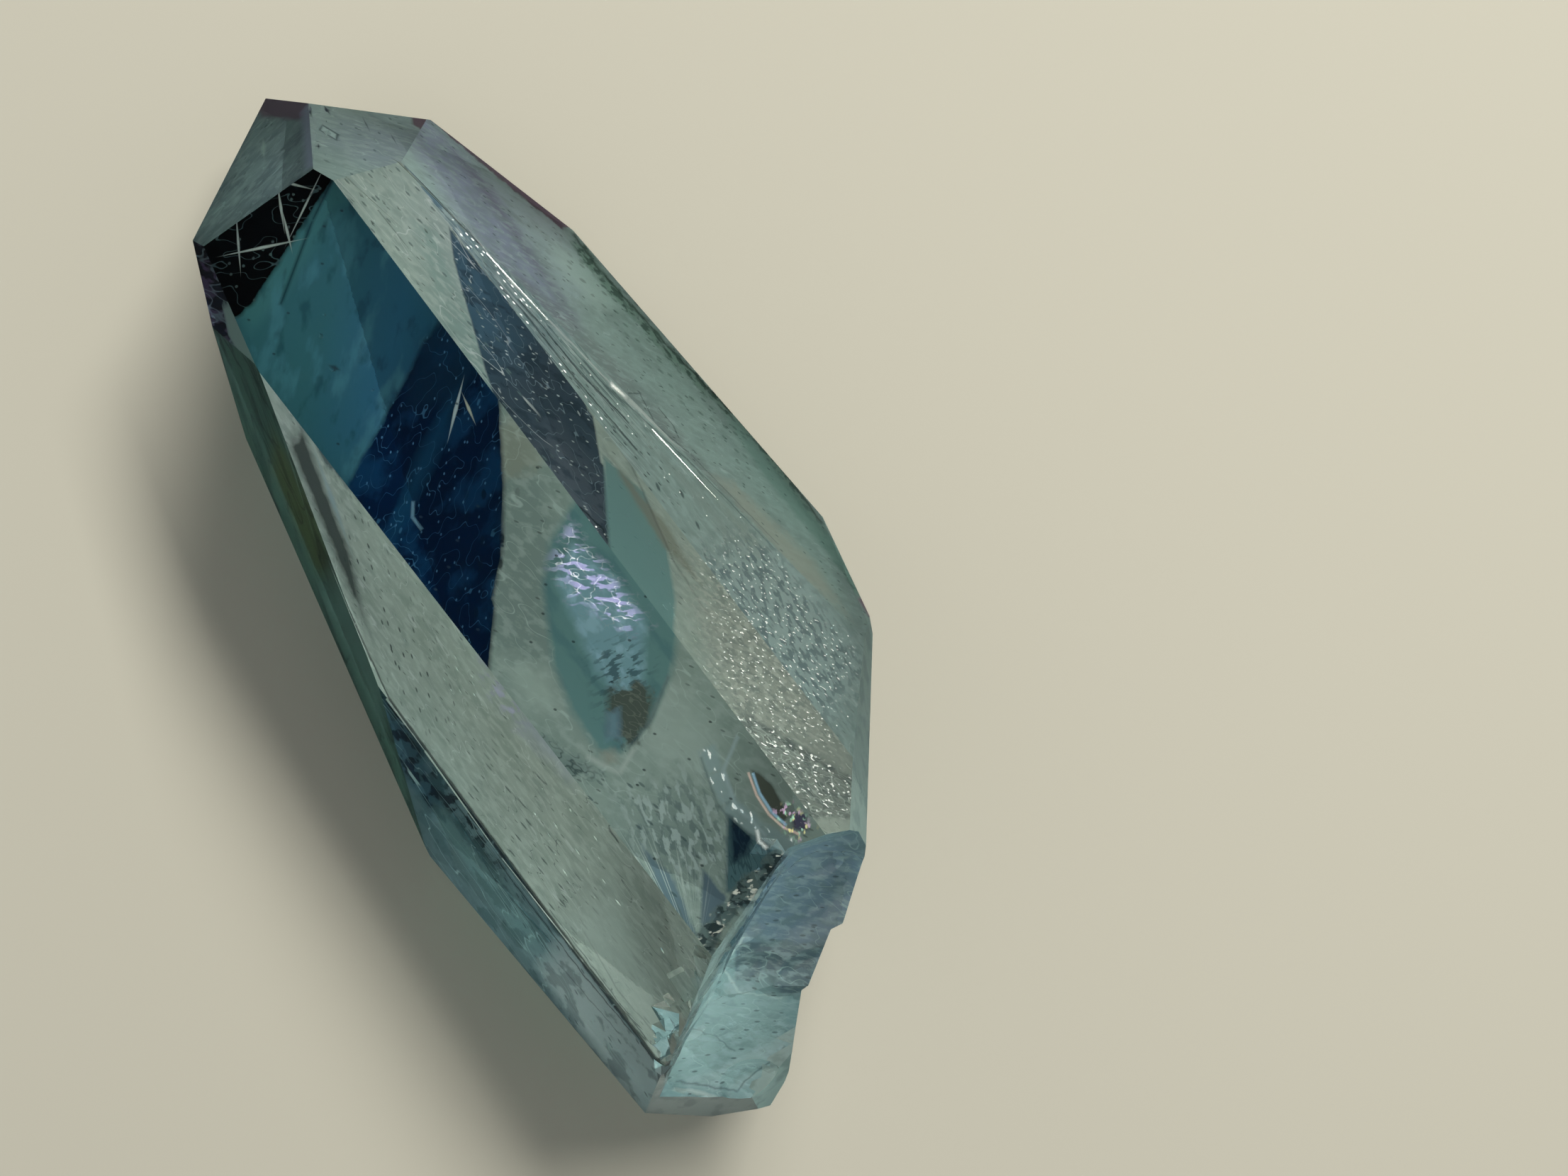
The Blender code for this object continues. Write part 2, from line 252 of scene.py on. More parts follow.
    def streak(self, start, end, width, soft=0.05):
        """1 along a slim lens from start to end, width millimetres across its middle."""
        px, py = sideways(start, end, width)
        mx, my = (start[0] + end[0]) / 2, (start[1] + end[1]) / 2
        return self.patch([start, (mx + px, my + py), end, (mx - px, my - py)], soft)

    def line(self, points, width, soft=0.03, ragged=0.0, seed=0.0):
        """1 along a line through the points, width millimetres across."""
        bars = []
        for (ax, ay), (bx, by) in zip(points, points[1:]):
            px, py = sideways((ax, ay), (bx, by), width)
            corners = [(ax + px, ay + py), (ax - px, ay - py), (bx - px, by - py), (bx + px, by + py)]
            bars.append(self.patch(corners, soft, ragged, seed=seed))
        return self.either(*bars)

    def rays(self, centre, length, turns, width, seed=0.0):
        """Fine lines that run together at a point."""
        dx = self.calc("SUBTRACT", self.along, centre[0])
        dy = self.calc("SUBTRACT", self.across, centre[1])
        squares = self.calc("ADD", self.calc("MULTIPLY", dx, dx), self.calc("MULTIPLY", dy, dy))
        round_about = self.calc("MULTIPLY_ADD", self.calc("ARCTAN2", dy, dx), turns, seed)
        outward = self.calc("DIVIDE", self.calc("SQRT", squares), length)
        return self.midlines(self.noise(self.join(round_about, outward), 0.0), width)

    def both(self, first, second):
        return self.calc("MULTIPLY", first, second)

    def either(self, *masks):
        whole = masks[0]
        for mask in masks[1:]:
            whole = self.calc("MAXIMUM", whole, mask)
        return whole

    def tint(self, colour, mask):
        """Change the base colour to this one over the mask."""
        mix = self.node("Mix", {0: mask, 6: self.colour, 7: colour}, data_type="RGBA")
        self.colour = mix.outputs[2]

    def coat_or_painted_light(self, tone, mask, strength=1.0):
        """Lay a tone over the mask; it serves both the coating's own colours and painted shade, reflections
        and highlights.
        """
        if strength != 1.0:
            mask = self.calc("MULTIPLY", mask, strength)
        self.tint(base_for_tone(tone, self.bare), mask)

    def stain_or_painted_light(self, tone, outline, soft=0.06, ragged=0.0, strength=1.0):
        """Lay a tone over an outline; it serves both the coating's own colours and painted shade,
        reflections and highlights.
        """
        self.coat_or_painted_light(tone, self.patch(outline, soft, ragged), strength)

    def draw(self, tone, points, width, soft=0.03, ragged=0.0, strength=1.0):
        """Lay a tone along a line; it serves both the coating's own colours and painted shade, reflections
        and highlights.
        """
        self.coat_or_painted_light(tone, self.line(points, width, soft, ragged), strength)

    def frost(self, roughness, mask):
        """Change the roughness to this one over the mask."""
        self.haze = self.node("Mix", {0: mask, 2: self.haze, 3: roughness}).outputs[0]

    def whiten(self, albedo, mask, strength=1.0):
        """Make the mask matt and pale so that it catches the lamp; it serves both pale scratches and flecks
        and painted glints and sparkle.
        """
        self.tint((*albedo, 1.0), mask)
        self.clear = self.calc("MULTIPLY_ADD", mask, -strength, self.clear, clamp=True)

    def wear(self, light, dark, turn=0.0, zone=None):
        """Soft grain, short dark etch ticks and fine pale scratches."""
        def lay(tone, mask, strength):
            self.coat_or_painted_light(tone, mask if zone is None else self.both(mask, zone), strength)
        lay(dark, self.mottle(0.44, 0.70, 0.42, 4.0, stretch=1.7, turn=turn, seed=0.1), 0.55)
        lay(light, self.mottle(0.46, 0.68, 0.20, 5.0, stretch=2.2, turn=turn, seed=0.2), 0.55)
        ticks = self.specks(0.24, 0.13, 0.24, stretch=3.0, turn=turn + 8, seed=0.3)
        lay(tuple(level * TICK_SHADE for level in dark), ticks, 0.8)
        scratches = self.hairs(0.55, 0.008, stretch=3.2, turn=turn - 6, seed=0.4)
        lay(tuple(min(PALEST_SCRATCH, level * SCRATCH_SHINE) for level in light), scratches, 0.5)

    def raise_by(self, millimetres, mask):
        self.height = self.calc("MULTIPLY_ADD", mask, millimetres, self.height)

    def finish(self):
        bump = self.node("Bump", {"Distance": MM, "Height": self.height})
        finish = {"Base Color": self.colour, "Roughness": self.haze, "Transmission Weight": self.clear,
                  "Normal": bump.outputs[0]}
        for socket, value in finish.items():
            feed(self.tree, self.shader.inputs[socket], value)
        return self.material


# ---- the big front face; on every face a later mark covers an earlier one -----------------------
def window():
    f = Face("window", (112, 128, 118))
    f.stain_or_painted_light((98, 114, 106), [(-2.4, 3.3), (1.1, 2.3), (5.8, -0.4), (4.2, -1.4), (2.7, -1.4)], 0.25, 0.1)
    f.wear((126, 142, 132), (98, 114, 105), turn=18)
    f.stain_or_painted_light((120, 120, 98), [(-1.9, 3.2), (-1.5, 2.2), (-0.6, 1.7), (-0.2, 3.0)], 0.16, 0.14, 0.35)
    f.stain_or_painted_light((134, 150, 138), [(2.8, -1.1), (4.0, -0.2), (5.2, -0.5), (4.4, -1.2)], 0.3, 0.1, 0.6)
    f.stain_or_painted_light((90, 106, 100), [(8.1, -1.1), (8.5, 0.6), (9.9, 0.6), (10.3, -0.5), (9.2, -1.4)], 0.5, 0.2, 0.7)
    f.stain_or_painted_light((128, 144, 134), [(5.8, 0.9), (6.2, 2.1), (8.0, 2.1), (8.4, 1.2), (7.2, 0.4)], 0.3, 0.1, 0.6)

    window_teal_end(f)
    window_navy_painted_shade(f)
    window_black_corner(f)
    window_oval(f)
    window_etching(f)
    window_wedges(f)
    window_fan(f)
    window_crack(f)
    window_chipped_band(f)
    pits = f.either(f.specks(0.8, 0.05, 0.35, stretch=1.6, turn=30, seed=12),
                    f.streak((-5.85, 0.05), (-5.55, 0.2), 0.13, 0.03))
    f.coat_or_painted_light((28, 42, 48), pits, 0.9)
    f.raise_by(0.004, f.cloud(0.35, 4.0, stretch=2.0, turn=19))
    return f.finish()


def window_teal_end(f):
    """The teal tip end, deeper blue towards the right-hand edge: painted shade, the face's dark view by
    internal reflection, tinted by the coating's blue.
    """
    teal = f.patch([(-10.0, 3.6), (-3.6, 3.6), (-2.4, -1.7), (-9.0, -1.7)], 0.08)
    f.coat_or_painted_light((32, 66, 70), teal)
    deep = f.patch([(-8.0, 3.6), (-3.6, 3.6), (-2.6, -1.2), (-4.4, -0.8)], 1.0, 0.1)
    f.coat_or_painted_light((28, 64, 80), f.both(deep, teal), 0.9)
    f.coat_or_painted_light((21, 54, 66),
           f.both(f.patch([(-6.2, 3.8), (-3.6, 3.8), (-2.8, 0.4), (-3.8, 0.6)], 0.5, 0.1), teal), 0.9)
    f.stain_or_painted_light((44, 82, 80),
            [(-9.75, 3.3), (-9.2, 3.3), (-8.1, 0.2), (-7.9, -1.0), (-8.9, -1.0)], 0.2, 0.05, 0.5)
    f.coat_or_painted_light((46, 84, 90), f.both(teal, f.mottle(0.52, 0.7, 0.8, 5.0, stretch=2.4, turn=-50, seed=2.2)), 0.6)
    f.coat_or_painted_light((16, 42, 52), f.both(teal, f.mottle(0.55, 0.72, 0.5, 5.0, stretch=2.0, turn=-50, seed=2.7)), 0.6)
    f.draw((8, 24, 38), [(-9.8, 3.2), (-9.2, 2.0), (-7.95, 0.0)], 0.09, 0.05)


def window_navy_painted_shade(f):
    """The deep navy middle, with a ragged border on the right: painted shade, the dark room seen by
    internal reflection.
    """
    navy = f.either(f.patch([(-5.0, 3.7), (-4.75, 2.4), (-2.9, -1.7), (2.9, -1.7), (1.0, 0.6), (-0.3, 1.65),
                             (-2.4, 3.1)], 0.07, 0.07, 0.5),
                    f.patch([(2.0, -1.5), (3.2, -1.5), (1.9, -0.3), (1.4, -0.1)], 0.07, 0.12, 0.3, seed=2))
    f.coat_or_painted_light((1, 17, 37), navy)
    f.coat_or_painted_light((6, 36, 58), f.both(navy, f.mottle(0.48, 0.66, 1.0, 5.0, stretch=1.6, turn=-60, seed=3)), 0.85)
    f.coat_or_painted_light((8, 40, 58), f.streak((-3.4, 2.7), (-1.1, -1.6), 0.46, 0.16))
    f.stain_or_painted_light((6, 28, 42), [(-5.0, 3.7), (-4.8, 2.3), (-3.7, 1.0), (-3.2, 1.6), (-3.2, 3.2)], 0.2, 0.08, 0.8)
    f.coat_or_painted_light((44, 84, 104), f.both(navy, f.hairs(0.42, 0.008, stretch=1.8, turn=-60, seed=5)), 0.3)
    f.coat_or_painted_light((48, 80, 96), f.both(navy, f.specks(0.17, 0.15, 0.2, stretch=1.8, turn=-50, seed=5.5)), 0.7)
    f.whiten((0.3, 0.4, 0.44), f.streak((-3.2, 2.45), (-2.4, 1.45), 0.08, 0.02), 0.1)
    f.whiten((0.34, 0.36, 0.24), f.streak((-2.9, 2.3), (-2.3, 2.15), 0.06, 0.02), 0.09)
    f.draw((70, 100, 110), [(-1.6, -0.35), (-1.3, -0.6), (-0.9, -0.6)], 0.06, 0.03, 0.0, 0.8)
    f.coat_or_painted_light((4, 20, 34),
           f.both(f.patch([(-0.6, 2.2), (1.4, 0.8), (3.6, -1.2), (1.4, -1.2), (-1.2, 1.2)], 0.3),
                  f.specks(0.3, 0.3, 0.3, stretch=2.0, turn=-40, seed=5.8)), 0.9)


def window_black_corner(f):
    """The scratched black corner beside the tip: painted shade, black where internal reflection shows the
    dark room; the scratches are the face's own.
    """
    corner = f.patch([(-10.9, -1.2), (-10.7, 3.5), (-9.85, 3.5), (-8.45, -0.5), (-8.4, -1.2)], 0.07, 0.05)
    f.coat_or_painted_light((2, 4, 5), corner)
    scratches = f.either(f.streak((-10.4, 1.75), (-9.65, 1.35), 0.05, 0.02),
                         f.streak((-9.75, 1.45), (-9.05, 1.15), 0.05, 0.02),
                         f.streak((-9.85, -0.15), (-9.1, 1.25), 0.06, 0.02),
                         f.streak((-10.4, 0.35), (-9.6, -0.15), 0.04, 0.02),
                         f.streak((-10.55, 2.0), (-10.0, 2.4), 0.04, 0.02),
                         f.streak((-9.9, 2.6), (-9.4, 1.6), 0.03, 0.02))
    f.whiten((0.22, 0.27, 0.25), scratches, 0.1)
    f.coat_or_painted_light((44, 56, 54), f.both(corner, f.specks(0.3, 0.16, 0.35, seed=4)), 0.7)
    f.coat_or_painted_light((40, 56, 56), f.both(corner, f.hairs(0.6, 0.008, stretch=2.0, turn=60, seed=4.5)), 0.6)


def window_oval(f):
    """The teal oval with its lilac glints and brown foot: the oval is a painted reflection, a rear face
    seen by internal reflection, and the lilac glints are painted highlights.
    """
    oval = f.patch([(0.9, 3.2), (1.45, 1.75), (2.2, 1.0), (3.9, 0.0), (5.1, -0.35), (6.4, -0.45),
                    (6.75, 0.0), (6.6, 1.1), (6.0, 2.2), (4.9, 3.4)], 0.12, 0.03)
    f.coat_or_painted_light((78, 110, 106), oval)
    f.coat_or_painted_light((64, 98, 98), f.both(oval, f.mottle(0.5, 0.68, 0.5, 4.0, stretch=3.0, seed=6.4)), 0.7)
    heart = f.patch([(1.9, 2.2), (2.4, 1.3), (4.7, 0.75), (5.6, 0.75), (5.85, 1.4), (4.5, 2.5), (3.2, 2.5)],
                    0.14, 0.06)
    f.coat_or_painted_light((96, 129, 133), heart)
    f.coat_or_painted_light((118, 149, 153), f.both(heart, f.mottle(0.5, 0.68, 0.35, 5.0, stretch=1.6, seed=6.6)), 0.7)
    # Painted highlights: the lilac glints and their white hairs.
    glint_zone = f.patch([(1.5, 2.4), (1.9, 1.5), (3.0, 1.35), (4.5, 2.0), (4.6, 2.5), (3.3, 2.5)], 0.25, 0.12)
    glint = f.both(glint_zone, f.mottle(0.5, 0.6, 0.17, 5.0, stretch=2.6, turn=45, seed=6))
    f.whiten((0.44, 0.44, 0.84), glint, 0.3)
    f.whiten((0.85, 0.88, 1.0), f.both(glint_zone, f.hairs(0.26, 0.015, stretch=2.0, turn=30, seed=7)), 0.4)
    dashes = f.mottle(0.52, 0.58, 0.15, 3.0, stretch=3.0, turn=75, seed=8)
    f.coat_or_painted_light((46, 72, 76),
           f.both(f.patch([(4.3, 0.9), (5.6, 0.2), (6.2, 1.2), (5.4, 2.0), (4.6, 1.9)], 0.3, 0.1), dashes),
           0.9)
    brown = f.patch([(5.3, 0.7), (5.75, 1.5), (6.2, 1.5), (6.8, 0.8), (6.7, 0.3), (6.2, 0.0)],
                    0.12, 0.16, 0.3)
    f.coat_or_painted_light((62, 72, 64), brown)
    f.coat_or_painted_light((84, 92, 82), f.both(brown, f.hairs(0.16, 0.05, stretch=2.4, turn=20, seed=8.5)), 0.8)
    f.stain_or_painted_light((86, 114, 122), [(5.75, 0.35), (5.95, 0.55), (6.5, 0.15), (6.3, -0.1)], 0.12, 0.1, 0.8)
    f.stain_or_painted_light((112, 106, 88), [(6.4, -0.4), (6.6, -0.1), (6.9, -0.25), (6.75, -0.45)], 0.1, 0.04, 0.5)
    f.draw((136, 148, 138), [(6.3, -0.75), (7.15, -0.35), (6.9, 0.3)], 0.1, 0.05, 0.0, 0.7)
    f.draw((52, 74, 78), [(6.0, 2.1), (6.6, 1.1), (6.8, 0.2)], 0.07, 0.05, 0.03, 0.7)


def window_etching(f):
    """Rough etched patches towards the base."""
    etched = f.patch([(4.9, -1.4), (5.9, -1.05), (6.9, -0.75), (6.5, -1.5), (5.7, -1.9)], 0.15, 0.08)
    f.coat_or_painted_light((84, 102, 96), etched, 0.8)
    f.coat_or_painted_light((46, 64, 62), f.both(etched, f.hairs(0.18, 0.09, stretch=2.2, turn=15, seed=9)), 0.9)
    rough = f.patch([(7.6, -0.6), (8.2, 0.9), (9.3, 1.3), (10.5, 0.8), (11.0, -0.4), (9.4, -1.3)],
                    0.5, 0.12)
    f.coat_or_painted_light((76, 94, 90),
           f.both(rough, f.mottle(0.5, 0.6, 0.22, 4.0, stretch=2.4, turn=-10, seed=9.6)), 0.75)
    f.coat_or_painted_light((136, 152, 144),
           f.both(rough, f.mottle(0.52, 0.62, 0.16, 4.0, stretch=2.4, turn=-14, seed=9.7)), 0.7)


def window_wedges(f):
    """Blue wedges, the dark triangle and its pale rim beside the break."""
    f.stain_or_painted_light((78, 98, 102), [(8.9, -1.0), (10.1, -0.85), (12.0, -1.4), (11.3, -1.7)], 0.06, 0.05)
    f.stain_or_painted_light((74, 92, 98), [(10.3, -0.15), (11.2, -0.1), (12.05, -1.2), (11.3, -1.0)], 0.05, 0.04)
    f.stain_or_painted_light((64, 90, 92), [(9.3, 1.4), (11.3, 1.9), (11.7, 0.9), (11.1, -0.05)], 0.06, 0.06)
    f.stain_or_painted_light((18, 34, 46), [(9.3, 1.4), (10.3, 1.6), (10.7, 0.9), (10.6, 0.5)], 0.1, 0.07)
    grate = f.hairs(0.14, 0.09, stretch=4.0, turn=-20, seed=9.4)
    f.coat_or_painted_light((30, 50, 58),
           f.both(f.patch([(9.6, 1.4), (11.3, 1.9), (11.7, 0.9), (10.8, 0.1)], 0.1), grate), 0.75)
    rim = f.line([(8.0, 1.75), (8.6, 1.55), (9.4, 1.35), (10.4, 1.55), (11.5, 2.0)], 0.42, 0.07, 0.03)
    f.coat_or_painted_light((116, 136, 132), rim, 0.85)
    f.whiten((0.75, 0.82, 0.8),
             f.both(rim, f.mottle(0.6, 0.68, 0.16, 3.0, stretch=2.0, turn=-20, seed=10)), 0.35)
    f.draw((60, 80, 80), [(8.1, 1.5), (9.3, 1.1), (10.4, 1.3), (11.2, 1.7)], 0.05, 0.03, 0.02, 0.7)


def window_fan(f):
    """Fine lines that fan out from the break, among short ticks."""
    fan = f.patch([(8.0, -3.4), (8.6, -1.2), (9.9, -0.3), (11.9, -1.4), (11.9, -1.8)], 0.5, 0.1)
    f.coat_or_painted_light((146, 160, 150), f.both(fan, f.rays((12.0, -1.65), 9.0, 17.0, 0.045)), 0.9)
    f.coat_or_painted_light((70, 88, 86), f.both(fan, f.rays((12.3, -1.6), 6.0, 13.0, 0.035, seed=4.0)), 0.9)
    ticked = f.patch([(6.6, -3.6), (6.8, 0.2), (9.6, 0.6), (12.4, -1.5), (12.8, -3.8)], 0.5)
    f.coat_or_painted_light((54, 74, 74), f.both(ticked, f.specks(0.24, 0.17, 0.34, stretch=3.4, turn=12, seed=11)), 0.85)


def window_crack(f):
    """The sickle-shaped crack with its rainbow edge; the rainbow and the coloured lines along its edge are
    painted reflections.
    """
    f.stain_or_painted_light((70, 76, 66),
            [(9.1, 2.28), (9.68, 2.1), (10.24, 2.05), (10.62, 2.12), (10.58, 2.3), (10.15, 2.42),
             (9.77, 2.48), (9.3, 2.42)], 0.04, 0.02)
    f.stain_or_painted_light((72, 72, 88), [(10.5, 2.45), (10.8, 2.7), (11.15, 2.5), (10.9, 2.22)], 0.05, 0.04)
    f.whiten((0.84, 0.58, 0.5),
             f.line([(9.12, 2.2), (9.68, 2.02), (10.24, 1.97), (10.73, 2.06), (11.08, 2.26)], 0.06, 0.02),
             0.14)
    f.whiten((0.26, 0.5, 0.74),
             f.line([(9.2, 2.28), (9.68, 2.11), (10.24, 2.06), (10.72, 2.15)], 0.07, 0.02), 0.15)
    rainbow = f.patch([(10.2, 2.1), (10.35, 2.6), (11.2, 2.7), (11.3, 2.2), (10.9, 2.0)], 0.1, 0.04)
    for tone, seed in (((0.95, 0.88, 0.4), 8.1), ((0.8, 0.5, 0.8), 8.3), ((0.45, 0.85, 0.6), 8.5)):
        f.whiten(tone,
                 f.both(rainbow, f.mottle(0.6, 0.66, 0.15, 3.0, stretch=1.6, turn=-40, seed=seed)), 0.2)
    f.whiten((0.85, 0.92, 0.92),
             f.line([(10.35, 1.5), (10.62, 1.38), (10.85, 1.42)], 0.08, 0.04, 0.05), 0.18)
    f.draw((132, 150, 146), [(8.25, 2.55), (8.7, 1.75), (9.6, 1.45), (10.6, 1.6)], 0.08, 0.04, 0.03, 0.7)


def window_chipped_band(f):
    """The chipped band along the break."""
    chipped = f.line([(11.3, 1.6), (11.35, 0.5), (11.5, -0.5), (11.8, -1.4), (12.0, -2.3), (12.6, -3.1),
                      (13.2, -3.9)], 0.5, 0.06, 0.14, seed=12)
    f.coat_or_painted_light((78, 94, 90), chipped)
    f.coat_or_painted_light((28, 42, 46),
           f.both(chipped, f.mottle(0.5, 0.58, 0.22, 4.0, stretch=1.6, turn=50, seed=12.3)), 0.9)
    f.whiten((0.62, 0.64, 0.56),
             f.both(chipped, f.mottle(0.6, 0.66, 0.15, 3.0, stretch=2.0, turn=60, seed=12.6)), 0.22)


# ---- the right-hand side, with its slate zone of painted shade ----------------------------------
def right_prism():
    f = Face("right_prism", (112, 128, 120))
    f.stain_or_painted_light((108, 126, 120), [(-11.5, 1.5), (-8.0, 0.6), (0.6, -4.4), (-12.0, -4.8)], 0.2)
    f.stain_or_painted_light((96, 118, 112),
            [(-8.0, 0.2), (-3.5, -2.9), (-1.0, -4.3), (-5.2, -3.4), (-8.4, -0.9)], 0.25, 0.05)
    f.wear((122, 138, 131), (92, 109, 104), turn=5)
    slate_shade_zone(f)
    slate_edge(f)
    sparkling_end(f)
    pale_foot(f)
    pits = f.specks(0.38, 0.15, 0.42, stretch=2.2, seed=5)
    band = f.patch([(-11.5, 1.8), (-7.6, 0.4), (0.8, -4.4), (-12.0, -4.8)], 0.2)
    f.coat_or_painted_light((58, 78, 78), f.both(pits, band), 0.8)
    f.raise_by(-0.008, pits)
    f.coat_or_painted_light((150, 166, 160), f.both(f.hairs(1.0, 0.008, stretch=4.0, seed=6), band), 0.6)
    f.raise_by(0.003, f.cloud(0.4, 3.0, stretch=2.0))
    return f.finish()


def slate_shade_zone(f):
    """The slate-blue zone with pale flecks and hair-fine curls; the zone is painted shade, the shadowed
    floor seen through the crystal.
    """
    slate = f.either(f.patch([(-7.9, 0.2), (-6.9, -0.75), (-3.6, -3.2), (-2.3, -4.1), (-1.2, -4.6),
                              (0.0, -2.0), (-1.3, -0.7), (-2.4, -0.35), (-5.3, -0.05)], 0.04, 0.05),
                     f.patch([(-1.3, -4.9), (2.4, -4.5), (1.6, -3.6), (0.0, -1.9), (-1.5, -2.0)],
                             0.04, 0.06))
    f.coat_or_painted_light((40, 54, 62), slate)
    f.coat_or_painted_light((42, 66, 78),
           f.both(slate,
                  f.patch([(-8.5, 0.8), (-8.5, -3.0), (-3.8, -4.8), (-4.0, -1.0), (-5.6, 0.4)], 0.9, 0.1)))
    f.coat_or_painted_light((54, 65, 72),
           f.both(slate, f.patch([(-1.5, -4.9), (2.4, -4.6), (1.0, -2.4), (-1.4, -2.4)], 0.6)), 0.8)
    f.coat_or_painted_light((30, 44, 52), f.both(slate, f.mottle(0.5, 0.64, 0.5, 4.0, stretch=1.5, turn=30, seed=1.5)), 0.7)
    flecks = f.both(slate,
                    f.either(f.specks(0.24, 0.13, 0.4, stretch=1.8, turn=35, seed=1),
                             f.specks(0.6, 0.06, 0.5, stretch=3.0, turn=-25, seed=1.7)))
    f.whiten((0.36, 0.42, 0.42), flecks, 0.18)
    f.coat_or_painted_light((84, 104, 110), f.both(slate, f.hairs(0.5, 0.01, stretch=1.6, turn=-20, seed=2)), 0.7)


def slate_edge(f):
    """What borders the slate zone: a bright foot, a teal sliver and a brown seam."""
    f.draw((30, 40, 44), [(-0.2, -4.25), (0.5, -4.05), (1.4, -3.9), (2.3, -4.35)], 0.08, 0.03, 0.03)
    f.whiten((0.8, 0.85, 0.82),
             f.both(f.line([(-0.4, -4.4), (0.5, -4.15), (1.5, -4.05), (2.2, -4.4)], 0.16, 0.04),
                    f.specks(0.13, 0.3, 0.4, seed=2.4)), 0.6)
    teal = f.patch([(-0.2, -1.6), (1.2, -1.3), (2.7, -2.2), (4.0, -3.6), (5.0, -5.2), (2.0, -4.3),
                    (0.9, -3.0)], 0.07, 0.05)
    f.coat_or_painted_light((80, 110, 108), teal)
    f.stain_or_painted_light((92, 98, 86),
            [(-1.8, -0.5), (-1.8, -0.1), (1.3, -1.2), (3.0, -1.6), (4.4, -1.7), (4.2, -2.2), (2.6, -2.3),
             (0.6, -1.7)], 0.1, 0.06, 0.8)
    f.draw((58, 60, 58),
           [(-5.6, 0.1), (-1.6, -0.3), (0.4, -0.9), (3.1, -2.4), (4.8, -2.9)], 0.07, 0.04, 0.04, 0.6)


def sparkling_end(f):
    """The sparkling end towards the break, with a blue chip at its edge; the sparkle is painted glints."""
    f.stain_or_painted_light((114, 126, 118),
            [(4.6, -3.0), (5.6, -0.2), (8.2, 0.2), (10.4, -3.0), (10.3, -5.9), (8.2, -6.2), (6.6, -5.0)],
            0.5, 0.2)
    sparkle = f.patch([(3.5, -1.5), (6.0, 0.6), (9.8, 0.4), (10.6, -6.4), (7.0, -6.0)], 0.8, 0.2)
    f.coat_or_painted_light((88, 100, 96),
           f.both(sparkle, f.mottle(0.48, 0.58, 0.22, 4.0, stretch=1.6, turn=30, seed=3.5)), 0.7)
    f.coat_or_painted_light((132, 144, 136),
           f.both(sparkle, f.mottle(0.52, 0.62, 0.16, 3.0, stretch=1.6, turn=30, seed=3.7)), 0.9)
    f.whiten(GLINT, f.both(sparkle, f.mottle(0.64, 0.7, 0.09, 3.0, stretch=1.8, turn=40, seed=3)), 0.32)
    f.stain_or_painted_light((66, 92, 96),
            [(6.5, 0.3), (6.9, 1.3), (8.8, 1.3), (9.1, -0.4), (8.4, -0.7), (7.6, -0.3)], 0.06, 0.04, 0.85)
    f.draw((24, 32, 36), [(6.5, 1.15), (8.9, 1.2)], 0.05, 0.03)


def pale_foot(f):
    """The pale grainy triangle at the foot of the face."""
    f.stain_or_painted_light((108, 121, 114),
            [(8.0, -5.6), (8.4, -3.8), (9.6, -2.2), (11.4, -3.4), (11.4, -5.4), (9.6, -6.8)], 0.6, 0.1, 0.8)
    foot = f.patch([(6.9, -5.2), (7.25, -4.55), (10.4, -2.8), (11.3, -3.7), (10.3, -5.4), (8.4, -6.4)],
                   0.1, 0.06)
    f.coat_or_painted_light((88, 99, 94), foot)
    f.coat_or_painted_light((70, 82, 80), f.both(foot, f.mottle(0.48, 0.58, 0.26, 4.0, stretch=1.8, turn=50, seed=9)), 0.8)
    f.coat_or_painted_light((112, 126, 120), f.both(foot, f.hairs(0.24, 0.05, stretch=1.8, turn=35, seed=9.5)), 0.8)
    # Painted glints in the grain.
    f.whiten(GLINT, f.both(foot, f.mottle(0.62, 0.68, 0.1, 3.0, stretch=1.8, turn=40, seed=9.8)), 0.3)


